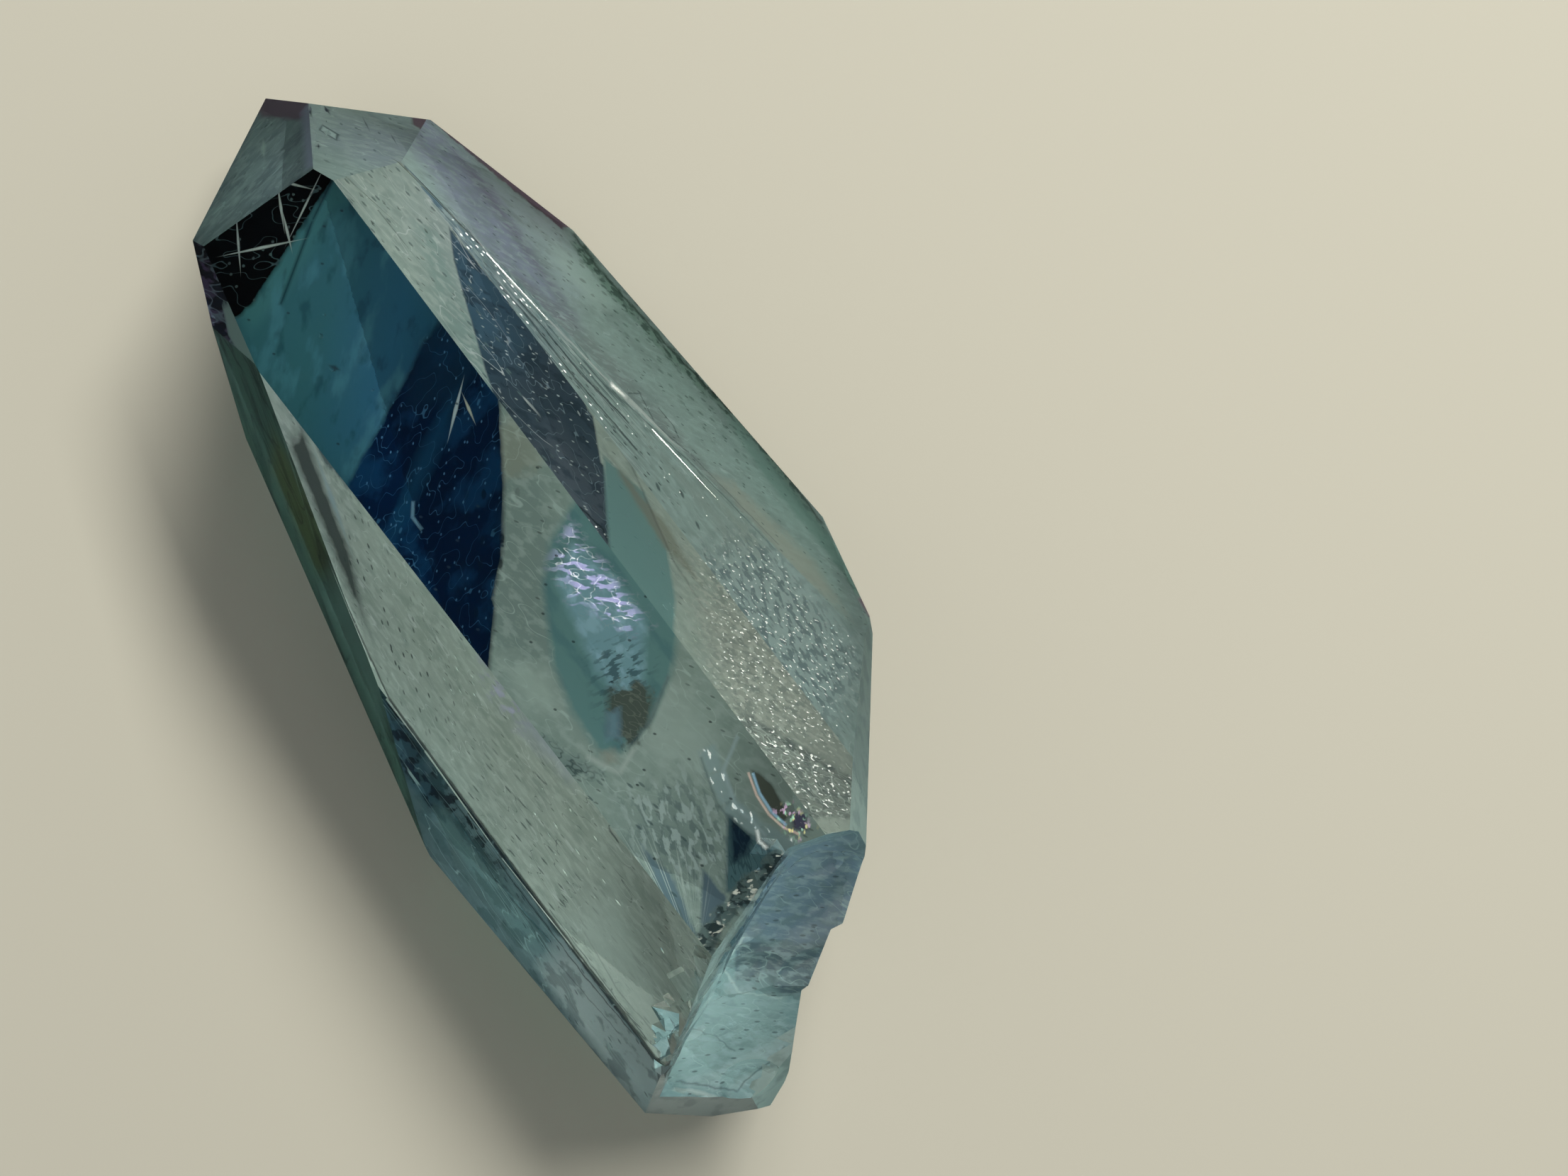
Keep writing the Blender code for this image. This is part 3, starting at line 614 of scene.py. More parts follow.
def striated_strip():
    f = Face("striated_strip", (116, 130, 120))
    f.stain_or_painted_light((70, 92, 98), [(-11.0, -1.0), (-11.0, 1.2), (-7.0, 1.2), (-5.6, -1.0)], 0.9, 0.1)
    f.stain_or_painted_light((96, 114, 110), [(-7.6, -1.2), (-7.6, 1.4), (-3.6, 1.4), (-3.2, -1.2)], 0.7, 0.1, 0.8)
    f.wear((130, 144, 134), (98, 112, 104))
    lines = f.hairs(0.22, 0.045, stretch=22.0, seed=1)
    striped = f.patch([(-9.5, -1.4), (-9.5, 1.6), (-1.0, 1.6), (0.6, -1.4)], 0.8)
    f.coat_or_painted_light((48, 64, 68), f.both(lines, striped), 0.85)
    f.coat_or_painted_light((146, 160, 152), f.both(f.hairs(0.19, 0.03, stretch=30.0, seed=1.6), striped), 0.7)
    # Painted highlights: glints along the striations.
    shine = f.either(f.line([(-8.4, 0.15), (-6.6, -0.1), (-4.8, -0.3)], 0.3, 0.06),
                     f.line([(-8.2, 0.45), (-6.5, 0.35), (-5.0, 0.35)], 0.26, 0.06),
                     f.line([(-4.8, -0.3), (-1.0, -0.75)], 0.12, 0.05))
    f.whiten((0.92, 0.96, 0.94), f.both(shine, f.specks(0.15, 0.32, 0.4, stretch=1.6, seed=2)), 0.6)
    f.draw((34, 46, 50), [(-5.3, 0.15), (-4.2, 0.2), (-2.6, 0.05), (-0.8, 0.3)], 0.08, 0.03, 0.03, 0.95)
    f.draw((38, 50, 52), [(-4.9, -0.1), (-2.6, -0.35), (0.0, -0.4)], 0.08, 0.03, 0.03, 0.9)
    f.coat_or_painted_light((46, 58, 58),
           f.both(f.specks(0.22, 0.2, 0.35, stretch=2.2, seed=3),
                  f.patch([(-4.5, -1.0), (-4.5, 0.7), (1.6, 0.3), (1.8, -2.2), (0.6, -2.2)], 0.4)), 0.9)
    strip_ridge(f)
    strip_low_end(f)
    f.raise_by(0.02, f.both(f.cloud(0.22, 1.0, stretch=22.0, seed=1), striped))
    f.raise_by(0.006, f.cloud(0.2, 3.0, seed=8))
    return f.finish()


def strip_ridge(f):
    """The bright ridge beside the strip, a painted highlight, with its dark lines and dull patches."""
    ridge = f.line([(-2.0, 1.0), (-1.4, 1.2), (0.9, 1.8), (2.3, 2.0), (4.3, 2.2)], 0.3, 0.06, 0.04)
    f.coat_or_painted_light((158, 170, 160), ridge, 0.9)
    f.whiten((0.8, 0.85, 0.8), f.both(ridge, f.mottle(0.42, 0.56, 0.5, 3.0, stretch=3.0, seed=3.4)), 0.3)
    f.draw((54, 64, 64), [(-1.8, 0.8), (0.9, 1.45), (2.3, 1.68), (4.4, 1.9)], 0.07, 0.03, 0.03, 0.8)
    f.draw((22, 30, 34), [(-10.4, 0.43), (-9.4, 0.42), (-8.3, 0.47), (-7.2, 0.6)], 0.1, 0.04, 0.02, 0.9)
    f.draw((150, 164, 158), [(-8.2, 0.75), (-5.8, 0.55), (-1.8, 1.05)], 0.08, 0.03, 0.02, 0.9)
    f.stain_or_painted_light((112, 120, 108), [(1.4, 1.2), (1.6, 1.5), (5.2, 1.5), (8.0, 0.2), (5.0, 0.6)], 0.25, 0.1, 0.6)
    f.stain_or_painted_light((110, 120, 110), [(-0.2, 0.3), (1.6, 0.9), (4.4, 0.5), (4.6, 0.0), (2.0, 0.2)], 0.2, 0.1, 0.6)


def strip_low_end(f):
    """The pitted and sparkling end towards the break; the sparkle is painted glints."""
    pitted = f.patch([(0.5, -0.9), (1.7, 1.3), (4.2, -0.6), (3.0, -3.2)], 0.4, 0.1)
    f.coat_or_painted_light((56, 70, 68), f.both(f.specks(0.4, 0.2, 0.55, stretch=2.6, turn=-35, seed=4), pitted), 0.9)
    f.whiten((0.92, 0.95, 0.9), f.specks(0.5, 0.06, 0.22, seed=5), 0.5)
    f.stain_or_painted_light((124, 138, 130), [(4.5, 2.6), (3.4, -3.6), (6.0, -3.6), (8.8, -2.0), (8.4, 1.6)], 0.5, 0.2, 0.8)
    low = f.patch([(3.6, 2.0), (3.0, -3.8), (9.0, -2.8), (8.8, 1.6)], 0.7)
    f.coat_or_painted_light((84, 98, 96), f.both(low, f.mottle(0.48, 0.58, 0.24, 4.0, stretch=1.6, turn=-20, seed=7)), 0.9)
    f.whiten(GLINT, f.both(low, f.mottle(0.64, 0.7, 0.09, 3.0, stretch=1.8, turn=30, seed=6)), 0.3)


def right_flank():
    f = Face("right_flank", (112, 128, 120))
    f.stain_or_painted_light((108, 116, 124), [(-12.5, 1.6), (-12.0, 3.6), (-8.6, 4.0), (-4.0, 1.5), (-4.0, -0.4)], 0.5, 0.1)
    f.stain_or_painted_light((122, 136, 132), [(-9.6, 3.9), (-8.0, 5.6), (-5.4, 5.2), (-4.4, 2.3)], 0.3, 0.1, 0.8)
    f.stain_or_painted_light((94, 92, 104),
            [(-11.2, 3.2), (-9.2, 3.6), (-4.2, 1.9), (-3.8, 0.9), (-8.2, 2.5)], 0.28, 0.06, 0.8)
    f.stain_or_painted_light((92, 96, 94),
            [(-6.4, 0.4), (-4.1, 2.1), (-1.0, 1.9), (4.5, 2.3), (4.5, 1.7), (-1.5, 0.4)], 0.3, 0.15, 0.7)
    f.wear((120, 136, 128), (100, 114, 107), turn=50)
    f.coat_or_painted_light((94, 106, 102), f.mottle(0.5, 0.66, 1.1, 4.0, stretch=1.5, turn=20, seed=5), 0.35)
    f.stain_or_painted_light((82, 70, 76),
            [(-12.4, 3.2), (-10.2, 4.2), (-8.8, 4.75), (-7.2, 5.7), (-7.2, 6.4), (-9.6, 5.7), (-12.6, 4.2)],
            0.06, 0.07)
    rim = f.either(f.line([(-6.6, 5.9), (-5.3, 5.5), (-3.6, 5.5), (-2.5, 5.5), (-0.6, 5.8)],
                          0.75, 0.12, 0.16),
                   f.line([(-0.6, 5.9), (1.5, 6.1), (4.6, 5.1), (7.6, 3.8)], 0.65, 0.12, 0.14))
    f.stain_or_painted_light((132, 148, 138),
            [(-6.8, 4.6), (-5.6, 5.3), (-4.2, 4.9), (-4.4, 3.6), (-6.2, 3.4)], 0.35, 0.1, 0.7)
    f.coat_or_painted_light((96, 116, 104), rim)
    f.coat_or_painted_light((52, 70, 62), f.both(rim, f.mottle(0.45, 0.58, 0.34, 4.0, seed=1.4)), 0.9)
    f.draw((46, 60, 52), [(-6.9, 6.1), (-5.4, 5.75), (-2.5, 5.8), (-0.2, 6.0), (1.5, 6.4), (4.7, 5.5)],
           0.18, 0.08, 0.08, 0.9)
    f.stain_or_painted_light((94, 118, 108),
            [(-0.6, 5.0), (2.4, 4.6), (7.4, 2.6), (8.6, 3.0), (6.0, 5.2), (0.8, 5.9)], 0.2, 0.12, 0.8)
    f.stain_or_painted_light((126, 128, 114), [(1.8, 1.6), (2.2, 2.4), (5.4, 3.0), (7.0, 2.2), (5.4, 1.5)], 0.3, 0.15, 0.6)
    f.stain_or_painted_light((96, 82, 88), [(7.0, 3.6), (7.3, 4.3), (8.4, 4.0), (8.2, 3.0)], 0.1, 0.03)
    blots = f.both(f.patch([(-6.4, 3.4), (-6.4, 6.8), (1.0, 6.8), (2.6, 3.4)], 0.7),
                   f.specks(0.3, 0.34, 0.35, stretch=1.4, turn=30, seed=1))
    f.coat_or_painted_light((66, 86, 76), blots, 0.6)
    f.coat_or_painted_light((50, 60, 58),
           f.either(f.line([(-1.5, 1.0), (-1.35, 1.7)], 0.05, 0.03),
                    f.line([(-1.4, 1.65), (-0.5, 1.1)], 0.05, 0.03),
                    f.line([(-0.75, 1.95), (-0.1, 1.9), (0.3, 1.6)], 0.05, 0.03)), 0.9)
    f.coat_or_painted_light((62, 78, 74), f.specks(0.5, 0.1, 0.35, stretch=1.6, turn=20, seed=2), 0.8)
    f.draw((44, 52, 52), [(-5.8, -0.15), (-1.7, 0.55), (1.0, 1.45), (4.4, 1.85)], 0.05, 0.03, 0.02, 0.7)
    f.raise_by(0.006, f.cloud(0.45, 4.0, seed=4))
    return f.finish()


def right_pyramid():
    f = Face("right_pyramid", (106, 121, 118))
    f.stain_or_painted_light((100, 110, 116),
            [(-10.6, 1.0), (-8.8, 3.2), (-6.8, 2.4), (-7.4, -0.6), (-9.4, -1.0)], 0.7, 0.1, 0.8)
    f.wear((116, 130, 126), (94, 108, 105), turn=40)
    f.stain_or_painted_light((82, 70, 76), [(-10.2, 4.3), (-9.4, 3.3), (-7.0, 3.0), (-6.6, 4.4), (-9.0, 5.0)], 0.06, 0.06)
    f.coat_or_painted_light((36, 44, 52),
           f.either(f.streak((-11.3, 0.75), (-10.6, 0.15), 0.16, 0.03),
                    f.streak((-11.05, 1.25), (-10.55, 0.9), 0.13, 0.03),
                    f.streak((-9.4, -1.1), (-9.2, -1.35), 0.09, 0.03)))
    pit = f.patch([(-10.2, 0.1), (-10.0, -0.35), (-9.35, -0.35), (-9.6, 0.1)], 0.03)
    core = f.patch([(-10.1, 0.0), (-9.95, -0.27), (-9.47, -0.27), (-9.65, 0.0)], 0.03)
    f.coat_or_painted_light((60, 76, 78), pit, 0.9)
    f.coat_or_painted_light((120, 136, 134), core, 0.9)
    f.coat_or_painted_light((54, 66, 72),
           f.either(f.streak((-10.1, 1.85), (-9.5, 1.35), 0.05, 0.02),
                    f.streak((-9.15, 1.9), (-8.65, 1.5), 0.05, 0.02)), 0.9)
    f.coat_or_painted_light((66, 82, 84), f.specks(0.6, 0.09, 0.4, stretch=1.8, turn=-40, seed=1), 0.8)
    f.raise_by(0.004, f.cloud(0.5, 3.0, seed=3))
    return f.finish()


def left_pyramid():
    f = Face("left_pyramid", (80, 96, 93))
    f.coat_or_painted_light((62, 76, 76), f.mottle(0.42, 0.62, 1.3, 3.0, stretch=4.0, turn=-60, seed=1), 0.7)
    f.wear((92, 107, 103), (60, 74, 74), turn=-60)
    f.stain_or_painted_light((72, 64, 70), [(-10.4, 2.2), (-9.2, 3.4), (-6.6, 4.2), (-6.0, 3.2), (-8.8, 2.2)], 0.1, 0.04)
    f.stain_or_painted_light((100, 108, 118), [(-7.4, 3.9), (-7.0, 3.2), (-3.2, 2.3), (-3.0, 3.0)], 0.12, 0.0, 0.7)
    f.coat_or_painted_light((110, 124, 116), f.streak((-7.0, 1.85), (-6.1, 1.65), 0.14, 0.06), 0.6)
    f.stain_or_painted_light((50, 62, 64), [(-4.4, -1.6), (-4.0, 0.4), (-2.9, 2.0), (-2.9, -1.6)], 0.4, 0.1, 0.5)
    f.raise_by(0.004, f.cloud(0.5, 3.0, stretch=3.0, turn=-60, seed=2))
    return f.finish()


def left_shoulder():
    # Its near-black tone is painted shade: the shadowed floor beside the crystal that the face mirrors.
    f = Face("left_shoulder", (8, 18, 32))
    f.coat_or_painted_light((60, 46, 72), f.mottle(0.5, 0.58, 0.34, 2.0, stretch=5.0, turn=60, seed=1))
    f.coat_or_painted_light((84, 98, 104), f.hairs(0.36, 0.05, stretch=5.0, turn=60, seed=2), 0.7)
    f.stain_or_painted_light((106, 122, 116),
            [(-8.6, 3.0), (-8.1, 4.5), (-7.3, 4.9), (-6.5, 4.6), (-6.3, 3.4), (-7.2, 2.7), (-8.0, 2.5)],
            0.1, 0.05)
    f.stain_or_painted_light((60, 80, 76), [(-6.9, 2.6), (-6.4, 3.6), (-5.4, 2.6), (-6.0, 1.6)], 0.2, 0.05, 0.7)
    f.raise_by(0.01, f.cloud(0.22, 2.0, stretch=4.0, turn=60, seed=3))
    return f.finish()


# ---- the left-hand side -------------------------------------------------------------------------
def left_prism():
    f = Face("left_prism", (116, 132, 122))
    f.coat_or_painted_light((104, 120, 110), f.mottle(0.48, 0.66, 1.2, 3.0, stretch=2.0, seed=1), 0.7)
    f.wear((130, 146, 136), (96, 112, 104), turn=8)
    f.stain_or_painted_light((52, 62, 58),
            [(-5.5, 4.6), (-5.5, 1.6), (-1.7, 0.4), (1.5, -1.0), (1.5, -0.3), (-0.9, 0.9), (-2.6, 1.9)],
            0.22, 0.1)
    f.coat_or_painted_light((104, 128, 130), f.streak((-4.6, 2.9), (-2.6, 1.8), 0.22, 0.08), 0.7)
    f.stain_or_painted_light((28, 58, 66),
            [(-5.6, 5.4), (-5.6, 3.6), (-4.4, 3.0), (-3.0, 3.5), (-3.6, 4.6)], 0.12, 0.14, 0.9)
    f.coat_or_painted_light((26, 36, 38),
           f.either(f.line([(-2.9, 0.35), (-0.9, -0.4), (1.5, -1.3)], 0.1, 0.03, 0.03),
                    f.line([(1.2, -1.22), (13.5, -0.05)], 0.2, 0.04, 0.02)), 0.95)
    f.draw((56, 72, 72), [(8.4, -0.32), (13.2, 0.16)], 0.05, 0.02, 0.03, 0.9)
    dashed = f.patch([(-3.2, 3.6), (-3.0, 1.0), (1.2, -0.9), (3.0, -0.6), (3.0, 2.0)], 0.8)
    f.coat_or_painted_light((40, 54, 52), f.both(dashed, f.specks(0.28, 0.18, 0.5, stretch=2.2, turn=-35, seed=2)), 0.95)
    # Painted lilac glints.
    lilac = f.patch([(2.3, 4.0), (2.7, 3.5), (4.0, 3.6), (4.2, 4.3)], 0.3, 0.12)
    f.whiten((0.5, 0.5, 0.8),
             f.both(lilac, f.mottle(0.46, 0.6, 0.26, 4.0, stretch=1.5, turn=30, seed=2.5)), 0.2)
    f.stain_or_painted_light((118, 128, 142), [(4.0, 4.4), (4.2, 3.7), (6.0, 4.3), (5.8, 5.2)], 0.35, 0.1, 0.35)
    f.coat_or_painted_light((44, 60, 60),
           f.both(f.hairs(0.5, 0.008, stretch=5.0, turn=10, seed=4),
                  f.patch([(5.0, 6.5), (5.0, -1.6), (13.6, -1.0), (13.6, 3.4)], 0.8)), 0.85)
    f.coat_or_painted_light((46, 62, 62),
           f.both(f.specks(0.26, 0.2, 0.34, stretch=3.6, turn=12, seed=5),
                  f.patch([(4.0, 2.2), (4.0, -1.4), (13.6, -1.0), (13.6, 2.6)], 0.8)), 0.85)
    f.draw((30, 44, 48), [(9.4, 0.55), (11.2, 0.3), (13.0, 0.75)], 0.06, 0.03, 0.03, 0.9)
    f.stain_or_painted_light((132, 150, 140), [(9.0, 3.0), (9.0, 0.2), (13.6, 0.6), (12.4, 1.8)], 0.5, 0.1, 0.6)
    f.raise_by(0.006, f.cloud(0.4, 4.0, stretch=2.0, turn=8, seed=6))
    return f.finish()


def left_flank_tip():
    # Its dark tone is painted shade: the shadowed floor beside the crystal that the face mirrors, over the
    # coating's colour.
    f = Face("left_flank_tip", (48, 66, 60))
    f.stain_or_painted_light((30, 42, 40), [(-7.0, 6.4), (-7.0, 3.0), (-3.8, 4.4), (-2.0, 5.0), (-2.0, 7.0)], 0.4, 0.15, 0.8)
    f.stain_or_painted_light((62, 68, 40),
            [(-5.6, 2.4), (-5.2, 0.4), (-2.4, -0.4), (-1.4, 0.8), (-3.4, 2.4)], 0.35, 0.1, 0.8)
    f.coat_or_painted_light((78, 96, 90), f.streak((-6.4, 3.9), (-3.4, 1.5), 0.14, 0.07), 0.5)
    f.coat_or_painted_light((116, 132, 124),
           f.both(f.hairs(0.35, 0.016, stretch=4.0, turn=-50, seed=1),
                  f.patch([(-7.0, 3.6), (-7.0, 8.0), (-2.0, 8.0), (-2.0, 4.0)], 0.5)), 0.6)
    f.coat_or_painted_light((22, 32, 32), f.mottle(0.5, 0.62, 0.8, 4.0, stretch=5.0, turn=-35, seed=2), 0.6)
    f.coat_or_painted_light((24, 34, 34), f.hairs(0.9, 0.03, stretch=2.6, turn=-25, seed=5), 0.7)
    f.stain_or_painted_light((74, 92, 88), [(-1.6, 3.0), (-1.6, -1.0), (2.0, -1.6), (2.0, 1.6)], 0.6, 0.1, 0.5)
    f.raise_by(0.008, f.cloud(0.5, 4.0, stretch=4.0, turn=-35, seed=3))
    return f.finish()


def left_flank_base():
    f = Face("left_flank_base", (104, 122, 116))
    f.stain_or_painted_light((56, 80, 84), [(-1.0, 0.6), (-1.0, -4.2), (7.0, -4.6), (6.6, -1.0), (2.0, -0.4)], 0.6, 0.15)
    f.wear((118, 136, 128), (84, 102, 98),
           zone=f.patch([(6.0, 1.4), (5.0, -5.0), (14.6, -3.6), (14.6, 1.4)], 0.6))
    mottled = f.patch([(-0.6, 0.2), (0.2, -4.0), (5.4, -5.0), (7.6, -1.8), (6.4, -0.3)], 0.5, 0.15)
    f.coat_or_painted_light((14, 26, 40),
           f.both(mottled, f.mottle(0.46, 0.54, 1.1, 5.0, stretch=0.5, turn=-8, seed=1)), 0.95)
    f.stain_or_painted_light((100, 123, 114),
            [(4.4, -1.9), (4.4, -3.0), (8.6, -3.2), (9.4, -1.2), (7.0, -1.3)], 0.3, 0.1, 0.8)
    f.stain_or_painted_light((166, 168, 154),
            [(9.4, 0.0), (9.8, -2.6), (14.4, -2.6), (14.4, 1.4), (12.0, 0.6)], 0.5, 0.1, 0.8)
    f.stain_or_painted_light((86, 102, 97),
            [(2.0, -3.0), (2.0, -6.0), (11.5, -4.0), (11.0, -2.9), (8.0, -2.8)], 0.25, 0.12, 0.8)
    dark = f.either(f.line([(1.2, -0.86), (6.0, -0.36), (13.6, 0.44)], 0.26, 0.04, 0.03),
                    f.line([(4.4, -1.0), (7.2, -0.75), (10.4, -0.35), (13.4, 0.45)], 0.07, 0.03, 0.03))
    f.coat_or_painted_light((20, 32, 42), dark, 0.95)
    f.draw((128, 146, 138), [(5.0, -0.75), (8.0, -0.5), (12.6, 0.25)], 0.06, 0.03, 0.03, 0.8)
    f.coat_or_painted_light((40, 54, 56),
           f.either(f.line([(4.6, -1.4), (7.1, -1.75), (9.1, -0.95)], 0.07, 0.03, 0.04),
                    f.line([(7.4, -1.5), (9.6, -1.4), (12.2, -0.6)], 0.05, 0.03, 0.04)), 0.85)
    f.coat_or_painted_light((58, 76, 78), f.specks(0.35, 0.16, 0.34, stretch=2.2, turn=-10, seed=3), 0.8)
    f.coat_or_painted_light((60, 84, 82), f.mottle(0.5, 0.6, 0.9, 5.0, stretch=1.0, turn=4, seed=5), 0.65)
    f.coat_or_painted_light((150, 166, 152), f.hairs(0.7, 0.012, stretch=4.0, turn=4, seed=6), 0.5)
    f.raise_by(0.008, f.cloud(0.4, 4.0, stretch=3.0, turn=-5, seed=4))
    return f.finish()


# ---- the broken base ----------------------------------------------------------------------------
def break_floor():
    f = Face("break_floor", (106, 132, 130), roughness=BROKEN)
    f.stain_or_painted_light((96, 118, 128), [(2.0, 1.6), (3.4, 4.2), (7.4, 3.0), (8.4, 0.4), (4.4, -0.6)], 0.5, 0.1)
    f.stain_or_painted_light((74, 94, 98), [(4.75, -0.55), (5.85, 0.05), (6.75, -1.0), (6.2, -1.45)], 0.05, 0.02)
    f.stain_or_painted_light((80, 100, 104), [(5.8, 0.1), (7.1, 0.9), (8.1, -0.3), (7.9, -1.0), (6.6, -0.8)], 0.1, 0.06)
    f.stain_or_painted_light((116, 140, 136),
            [(5.2, -2.3), (7.8, -0.9), (10.4, -2.8), (9.8, -4.2), (7.6, -4.9), (6.2, -4.2)], 0.1, 0.04)
    f.wear((126, 148, 146), (92, 114, 112), turn=20)
    f.coat_or_painted_light((60, 76, 78),
           f.line([(3.2, 1.9), (3.45, 0.4), (4.1, -1.2), (4.9, -2.2), (6.7, -4.5)],
                  0.14, 0.05, 0.06, seed=1), 0.8)
    f.draw((140, 160, 154), [(4.9, -0.3), (5.1, -1.3), (6.4, -1.6), (7.9, -1.1)], 0.06, 0.03, 0.04, 0.8)
    f.coat_or_painted_light((58, 78, 80),
           f.either(f.line([(7.8, -4.8), (10.0, -4.1), (9.9, -3.0), (9.7, -2.2)], 0.06, 0.03, 0.03),
                    f.line([(5.6, -3.6), (7.4, -3.1), (8.6, -3.2)], 0.04, 0.03, 0.04)), 0.8)
    f.draw((152, 170, 160), [(7.9, -5.0), (10.1, -4.35)], 0.08, 0.04, 0.02, 0.7)
    f.coat_or_painted_light((60, 78, 78), f.specks(0.42, 0.12, 0.4, stretch=2.4, turn=30, seed=2), 0.8)
    f.raise_by(0.01, f.cloud(0.6, 4.0, seed=4))
    return f.finish()


def weathered(name, tone, dull, low, high, size):
    f = Face(name, tone, roughness=BROKEN)
    f.coat_or_painted_light(dull, f.mottle(low, high, size, 4.0, seed=1), 0.6)
    f.raise_by(0.01, f.cloud(0.4, 4.0, seed=2))
    return f.finish()


def side_strip():
    return weathered("side_strip", (96, 116, 108), (74, 96, 90), 0.46, 0.66, 0.8)


def base_corner():
    return weathered("base_corner", (108, 124, 118), (84, 96, 96), 0.48, 0.68, 0.6)


def base_ledge():
    return weathered("base_ledge", (104, 128, 120), (70, 92, 86), 0.46, 0.66, 0.7)


def underside():
    f = Face("underside", (0, 0, 0), roughness=CLOUDED, clear=0.8)
    absorb = f.node("VolumeAbsorption", {"Color": WATER_TINT, "Density": WATER_DENSITY})
    feed(f.tree, f.tree.nodes["Material Output"].inputs["Volume"], absorb.outputs["Volume"])
    # Outside it is coated quartz like the flanks; its inner side sends light back up.
    f.colour = UNDERSIDE_TONE
    f.coat_or_painted_light((58, 78, 74), f.mottle(0.46, 0.64, 1.6, 4.0, stretch=2.0, seed=1), 0.5)
    inner = f.node("NewGeometry").outputs["Backfacing"]
    f.whiten(MATT_WHITE, inner, 0.5)
    f.frost(0.3, inner)
    f.raise_by(0.012, f.cloud(0.5, 4.0, stretch=2.0, seed=2))
    return f.finish()


def build_crystal():
    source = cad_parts["crystal"]
    bm = bmesh.new()
    bm.from_mesh(source.data)
    bmesh.ops.remove_doubles(bm, verts=bm.verts[:], dist=WELD)
    planes = [(face_normal(turn, lean), reach * MM) for turn, lean, reach, _ in FACES.values()]
    for polygon in bm.faces:
        spot = polygon.calc_center_median() - HEART
        gaps = [abs(normal.dot(spot) - reach) + TURN_COST * (1 - normal.dot(polygon.normal))
                for normal, reach in planes]
        nearest = gaps.index(min(gaps))
        beneath = polygon.normal.z < UNDERSIDE_TILT and gaps[nearest] > OFF_FACE
        polygon.material_index = len(FACES) if beneath else nearest
    mesh = bpy.data.meshes.new("crystal_finish")
    bm.to_mesh(mesh)
    bm.free()
    obj = bpy.data.objects.new("crystal_finish", mesh)
    bpy.context.scene.collection.objects.link(obj)
    for paint in (window, left_pyramid, right_pyramid, right_prism, striated_strip, right_flank,
                  left_prism, left_flank_tip, left_flank_base, left_shoulder, side_strip,
                  break_floor, base_corner, base_ledge, underside):
        mesh.materials.append(paint())
    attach(obj, "root")
    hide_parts("crystal")


# ---- floor --------------------------------------------------------------------------------------
FLOOR_SIZE = 1.6
# A hair's breadth keeps the floor clear of the crystal's lowest points.
FLOOR_DROP = 0.02 * MM
FLOOR_CARD = (0.305, 0.296, 0.252, 1.0)


def build_floor():
    bpy.ops.mesh.primitive_plane_add(size=FLOOR_SIZE, location=(0, 0, -FLOOR_DROP))
    floor = bpy.context.object
    floor.name = "floor"
    material = bpy.data.materials.new("floor_card")
    material.use_nodes = True
    tree = material.node_tree
    card = add_node(tree, "BsdfDiffuse", {"Color": FLOOR_CARD})
    feed(tree, tree.nodes["Material Output"].inputs["Surface"], card.outputs[0])
    floor.data.materials.append(material)
    # The muted shine of the coating does not mirror the floor.
    floor.visible_glossy = False


# ---- view: its up and right, in the crystal's frame ----------------------------------------------
VIEW_TURN = math.radians(51.5)
RIGHT = Vector((math.cos(VIEW_TURN), math.sin(VIEW_TURN), 0))
UP = Vector((-math.sin(VIEW_TURN), math.cos(VIEW_TURN), 0))
BACK = Vector((0, 0, 1))
CAMERA_LENS, CAMERA_SENSOR = 45.0, 36.0
CAMERA_NEAREST = 2 * MM
# The camera looks straight down, so that the crystal lies left of the middle of the view.
CAMERA_FROM_HEART = Vector((5.0985, 5.5182, 55.7775)) * MM


def build_camera():
    data = bpy.data.cameras.new("camera")
    data.lens, data.sensor_width, data.clip_start = CAMERA_LENS, CAMERA_SENSOR, CAMERA_NEAREST
    camera = bpy.data.objects.new("camera", data)
    place = Matrix((RIGHT, UP, BACK)).transposed().to_4x4()
    place.translation = HEART + CAMERA_FROM_HEART
    camera.matrix_world = place
    bpy.context.scene.collection.objects.link(camera)
    bpy.context.scene.camera = camera


def toward(bearing, height):
    """Direction from the crystal, at a bearing from the view's right and a height above the floor."""
    bearing, height = math.radians(bearing), math.radians(height)
    level = RIGHT * math.cos(bearing) + UP * math.sin(bearing)
    return level * math.cos(height) + BACK * math.sin(height)


# ---- light: bearings and heights in degrees -----------------------------------------------------
LAMP_ENDS = ((80, 34), (26, 54))
LAMP_DISTANCE = 0.28
LAMP_LENGTH, LAMP_WIDTH = 0.20, 0.05
LAMP_POWER = 1.60
LAMP_COLOUR = (1.0, 0.97, 0.90)
# Room tone at heights from -1 straight down to 1 straight up.
ROOM_TONES = ((-0.06, (0.02, 0.02, 0.02)), (-0.02, (0.70, 0.70, 0.67)), (1.0, (0.66, 0.67, 0.68)))
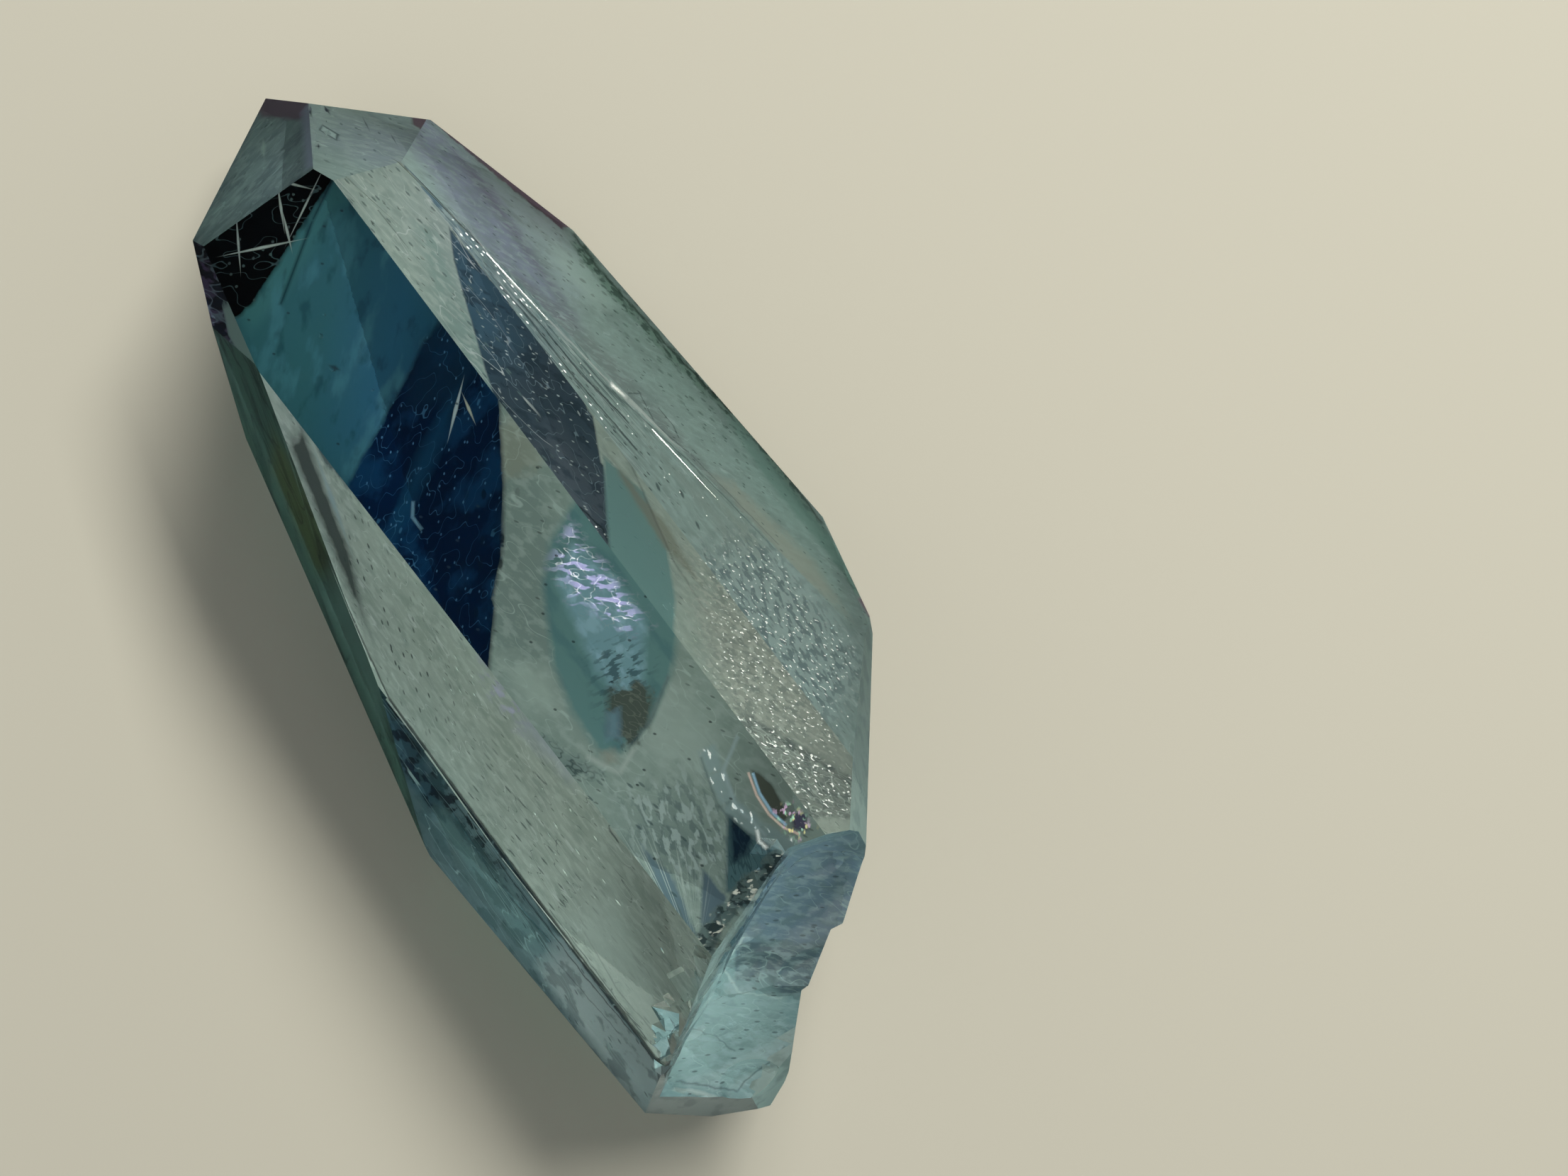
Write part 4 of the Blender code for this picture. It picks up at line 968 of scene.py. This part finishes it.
# Someone leans in over the tip: a dark patch of the room at this bearing and height, full within
# the core and gone beyond the rim.
LEANING_IN = (133, 70)
LEANING_RIM, LEANING_CORE = 32, 22
LEANING_TONE = 0.03


def build_lamp():
    data = bpy.data.lights.new("long_lamp", "AREA")
    data.shape, data.size, data.size_y = "RECTANGLE", LAMP_LENGTH, LAMP_WIDTH
    data.energy, data.color = LAMP_POWER, LAMP_COLOUR
    lamp = bpy.data.objects.new("long_lamp", data)
    first, last = (toward(*end) for end in LAMP_ENDS)
    middle, length = (first + last).normalized(), (first - last).normalized()
    place = Matrix((length, middle.cross(length), middle)).transposed().to_4x4()
    place.translation = middle * LAMP_DISTANCE
    lamp.matrix_world = place
    bpy.context.scene.collection.objects.link(lamp)


def build_room():
    world = bpy.data.worlds.new("room")
    world.use_nodes = True
    tree = world.node_tree
    place = add_node(tree, "TexCoord").outputs["Generated"]
    height = add_node(tree, "SeparateXYZ", {0: place}).outputs["Z"]
    rise = add_node(tree, "Math", {0: height, 1: 0.5, 2: 0.5}, operation="MULTIPLY_ADD")
    ramp = add_node(tree, "ValToRGB", {0: rise.outputs[0]})
    ramp.color_ramp.elements.new(0.5)
    for stop, (height, tone) in zip(ramp.color_ramp.elements, ROOM_TONES):
        stop.position = 0.5 + height / 2
        stop.color = (*tone, 1)
    facing = add_node(tree, "VectorMath", {0: place, 1: toward(*LEANING_IN)}, operation="DOT_PRODUCT")
    rim, core = (math.cos(math.radians(angle)) for angle in (LEANING_RIM, LEANING_CORE))
    cone = {"Value": facing.outputs["Value"], "From Min": rim, "From Max": core,
            "To Min": 1.0, "To Max": LEANING_TONE}
    shade = add_node(tree, "MapRange", cone, interpolation_type="SMOOTHSTEP").outputs["Result"]
    room = add_node(tree, "VectorMath", {0: ramp.outputs[0], "Scale": shade}, operation="SCALE")
    feed(tree, tree.nodes["Background"].inputs["Color"], room.outputs[0])
    bpy.context.scene.world = world
    bpy.context.scene.view_settings.view_transform = "Standard"


build_crystal()
build_floor()
build_camera()
build_lamp()
build_room()
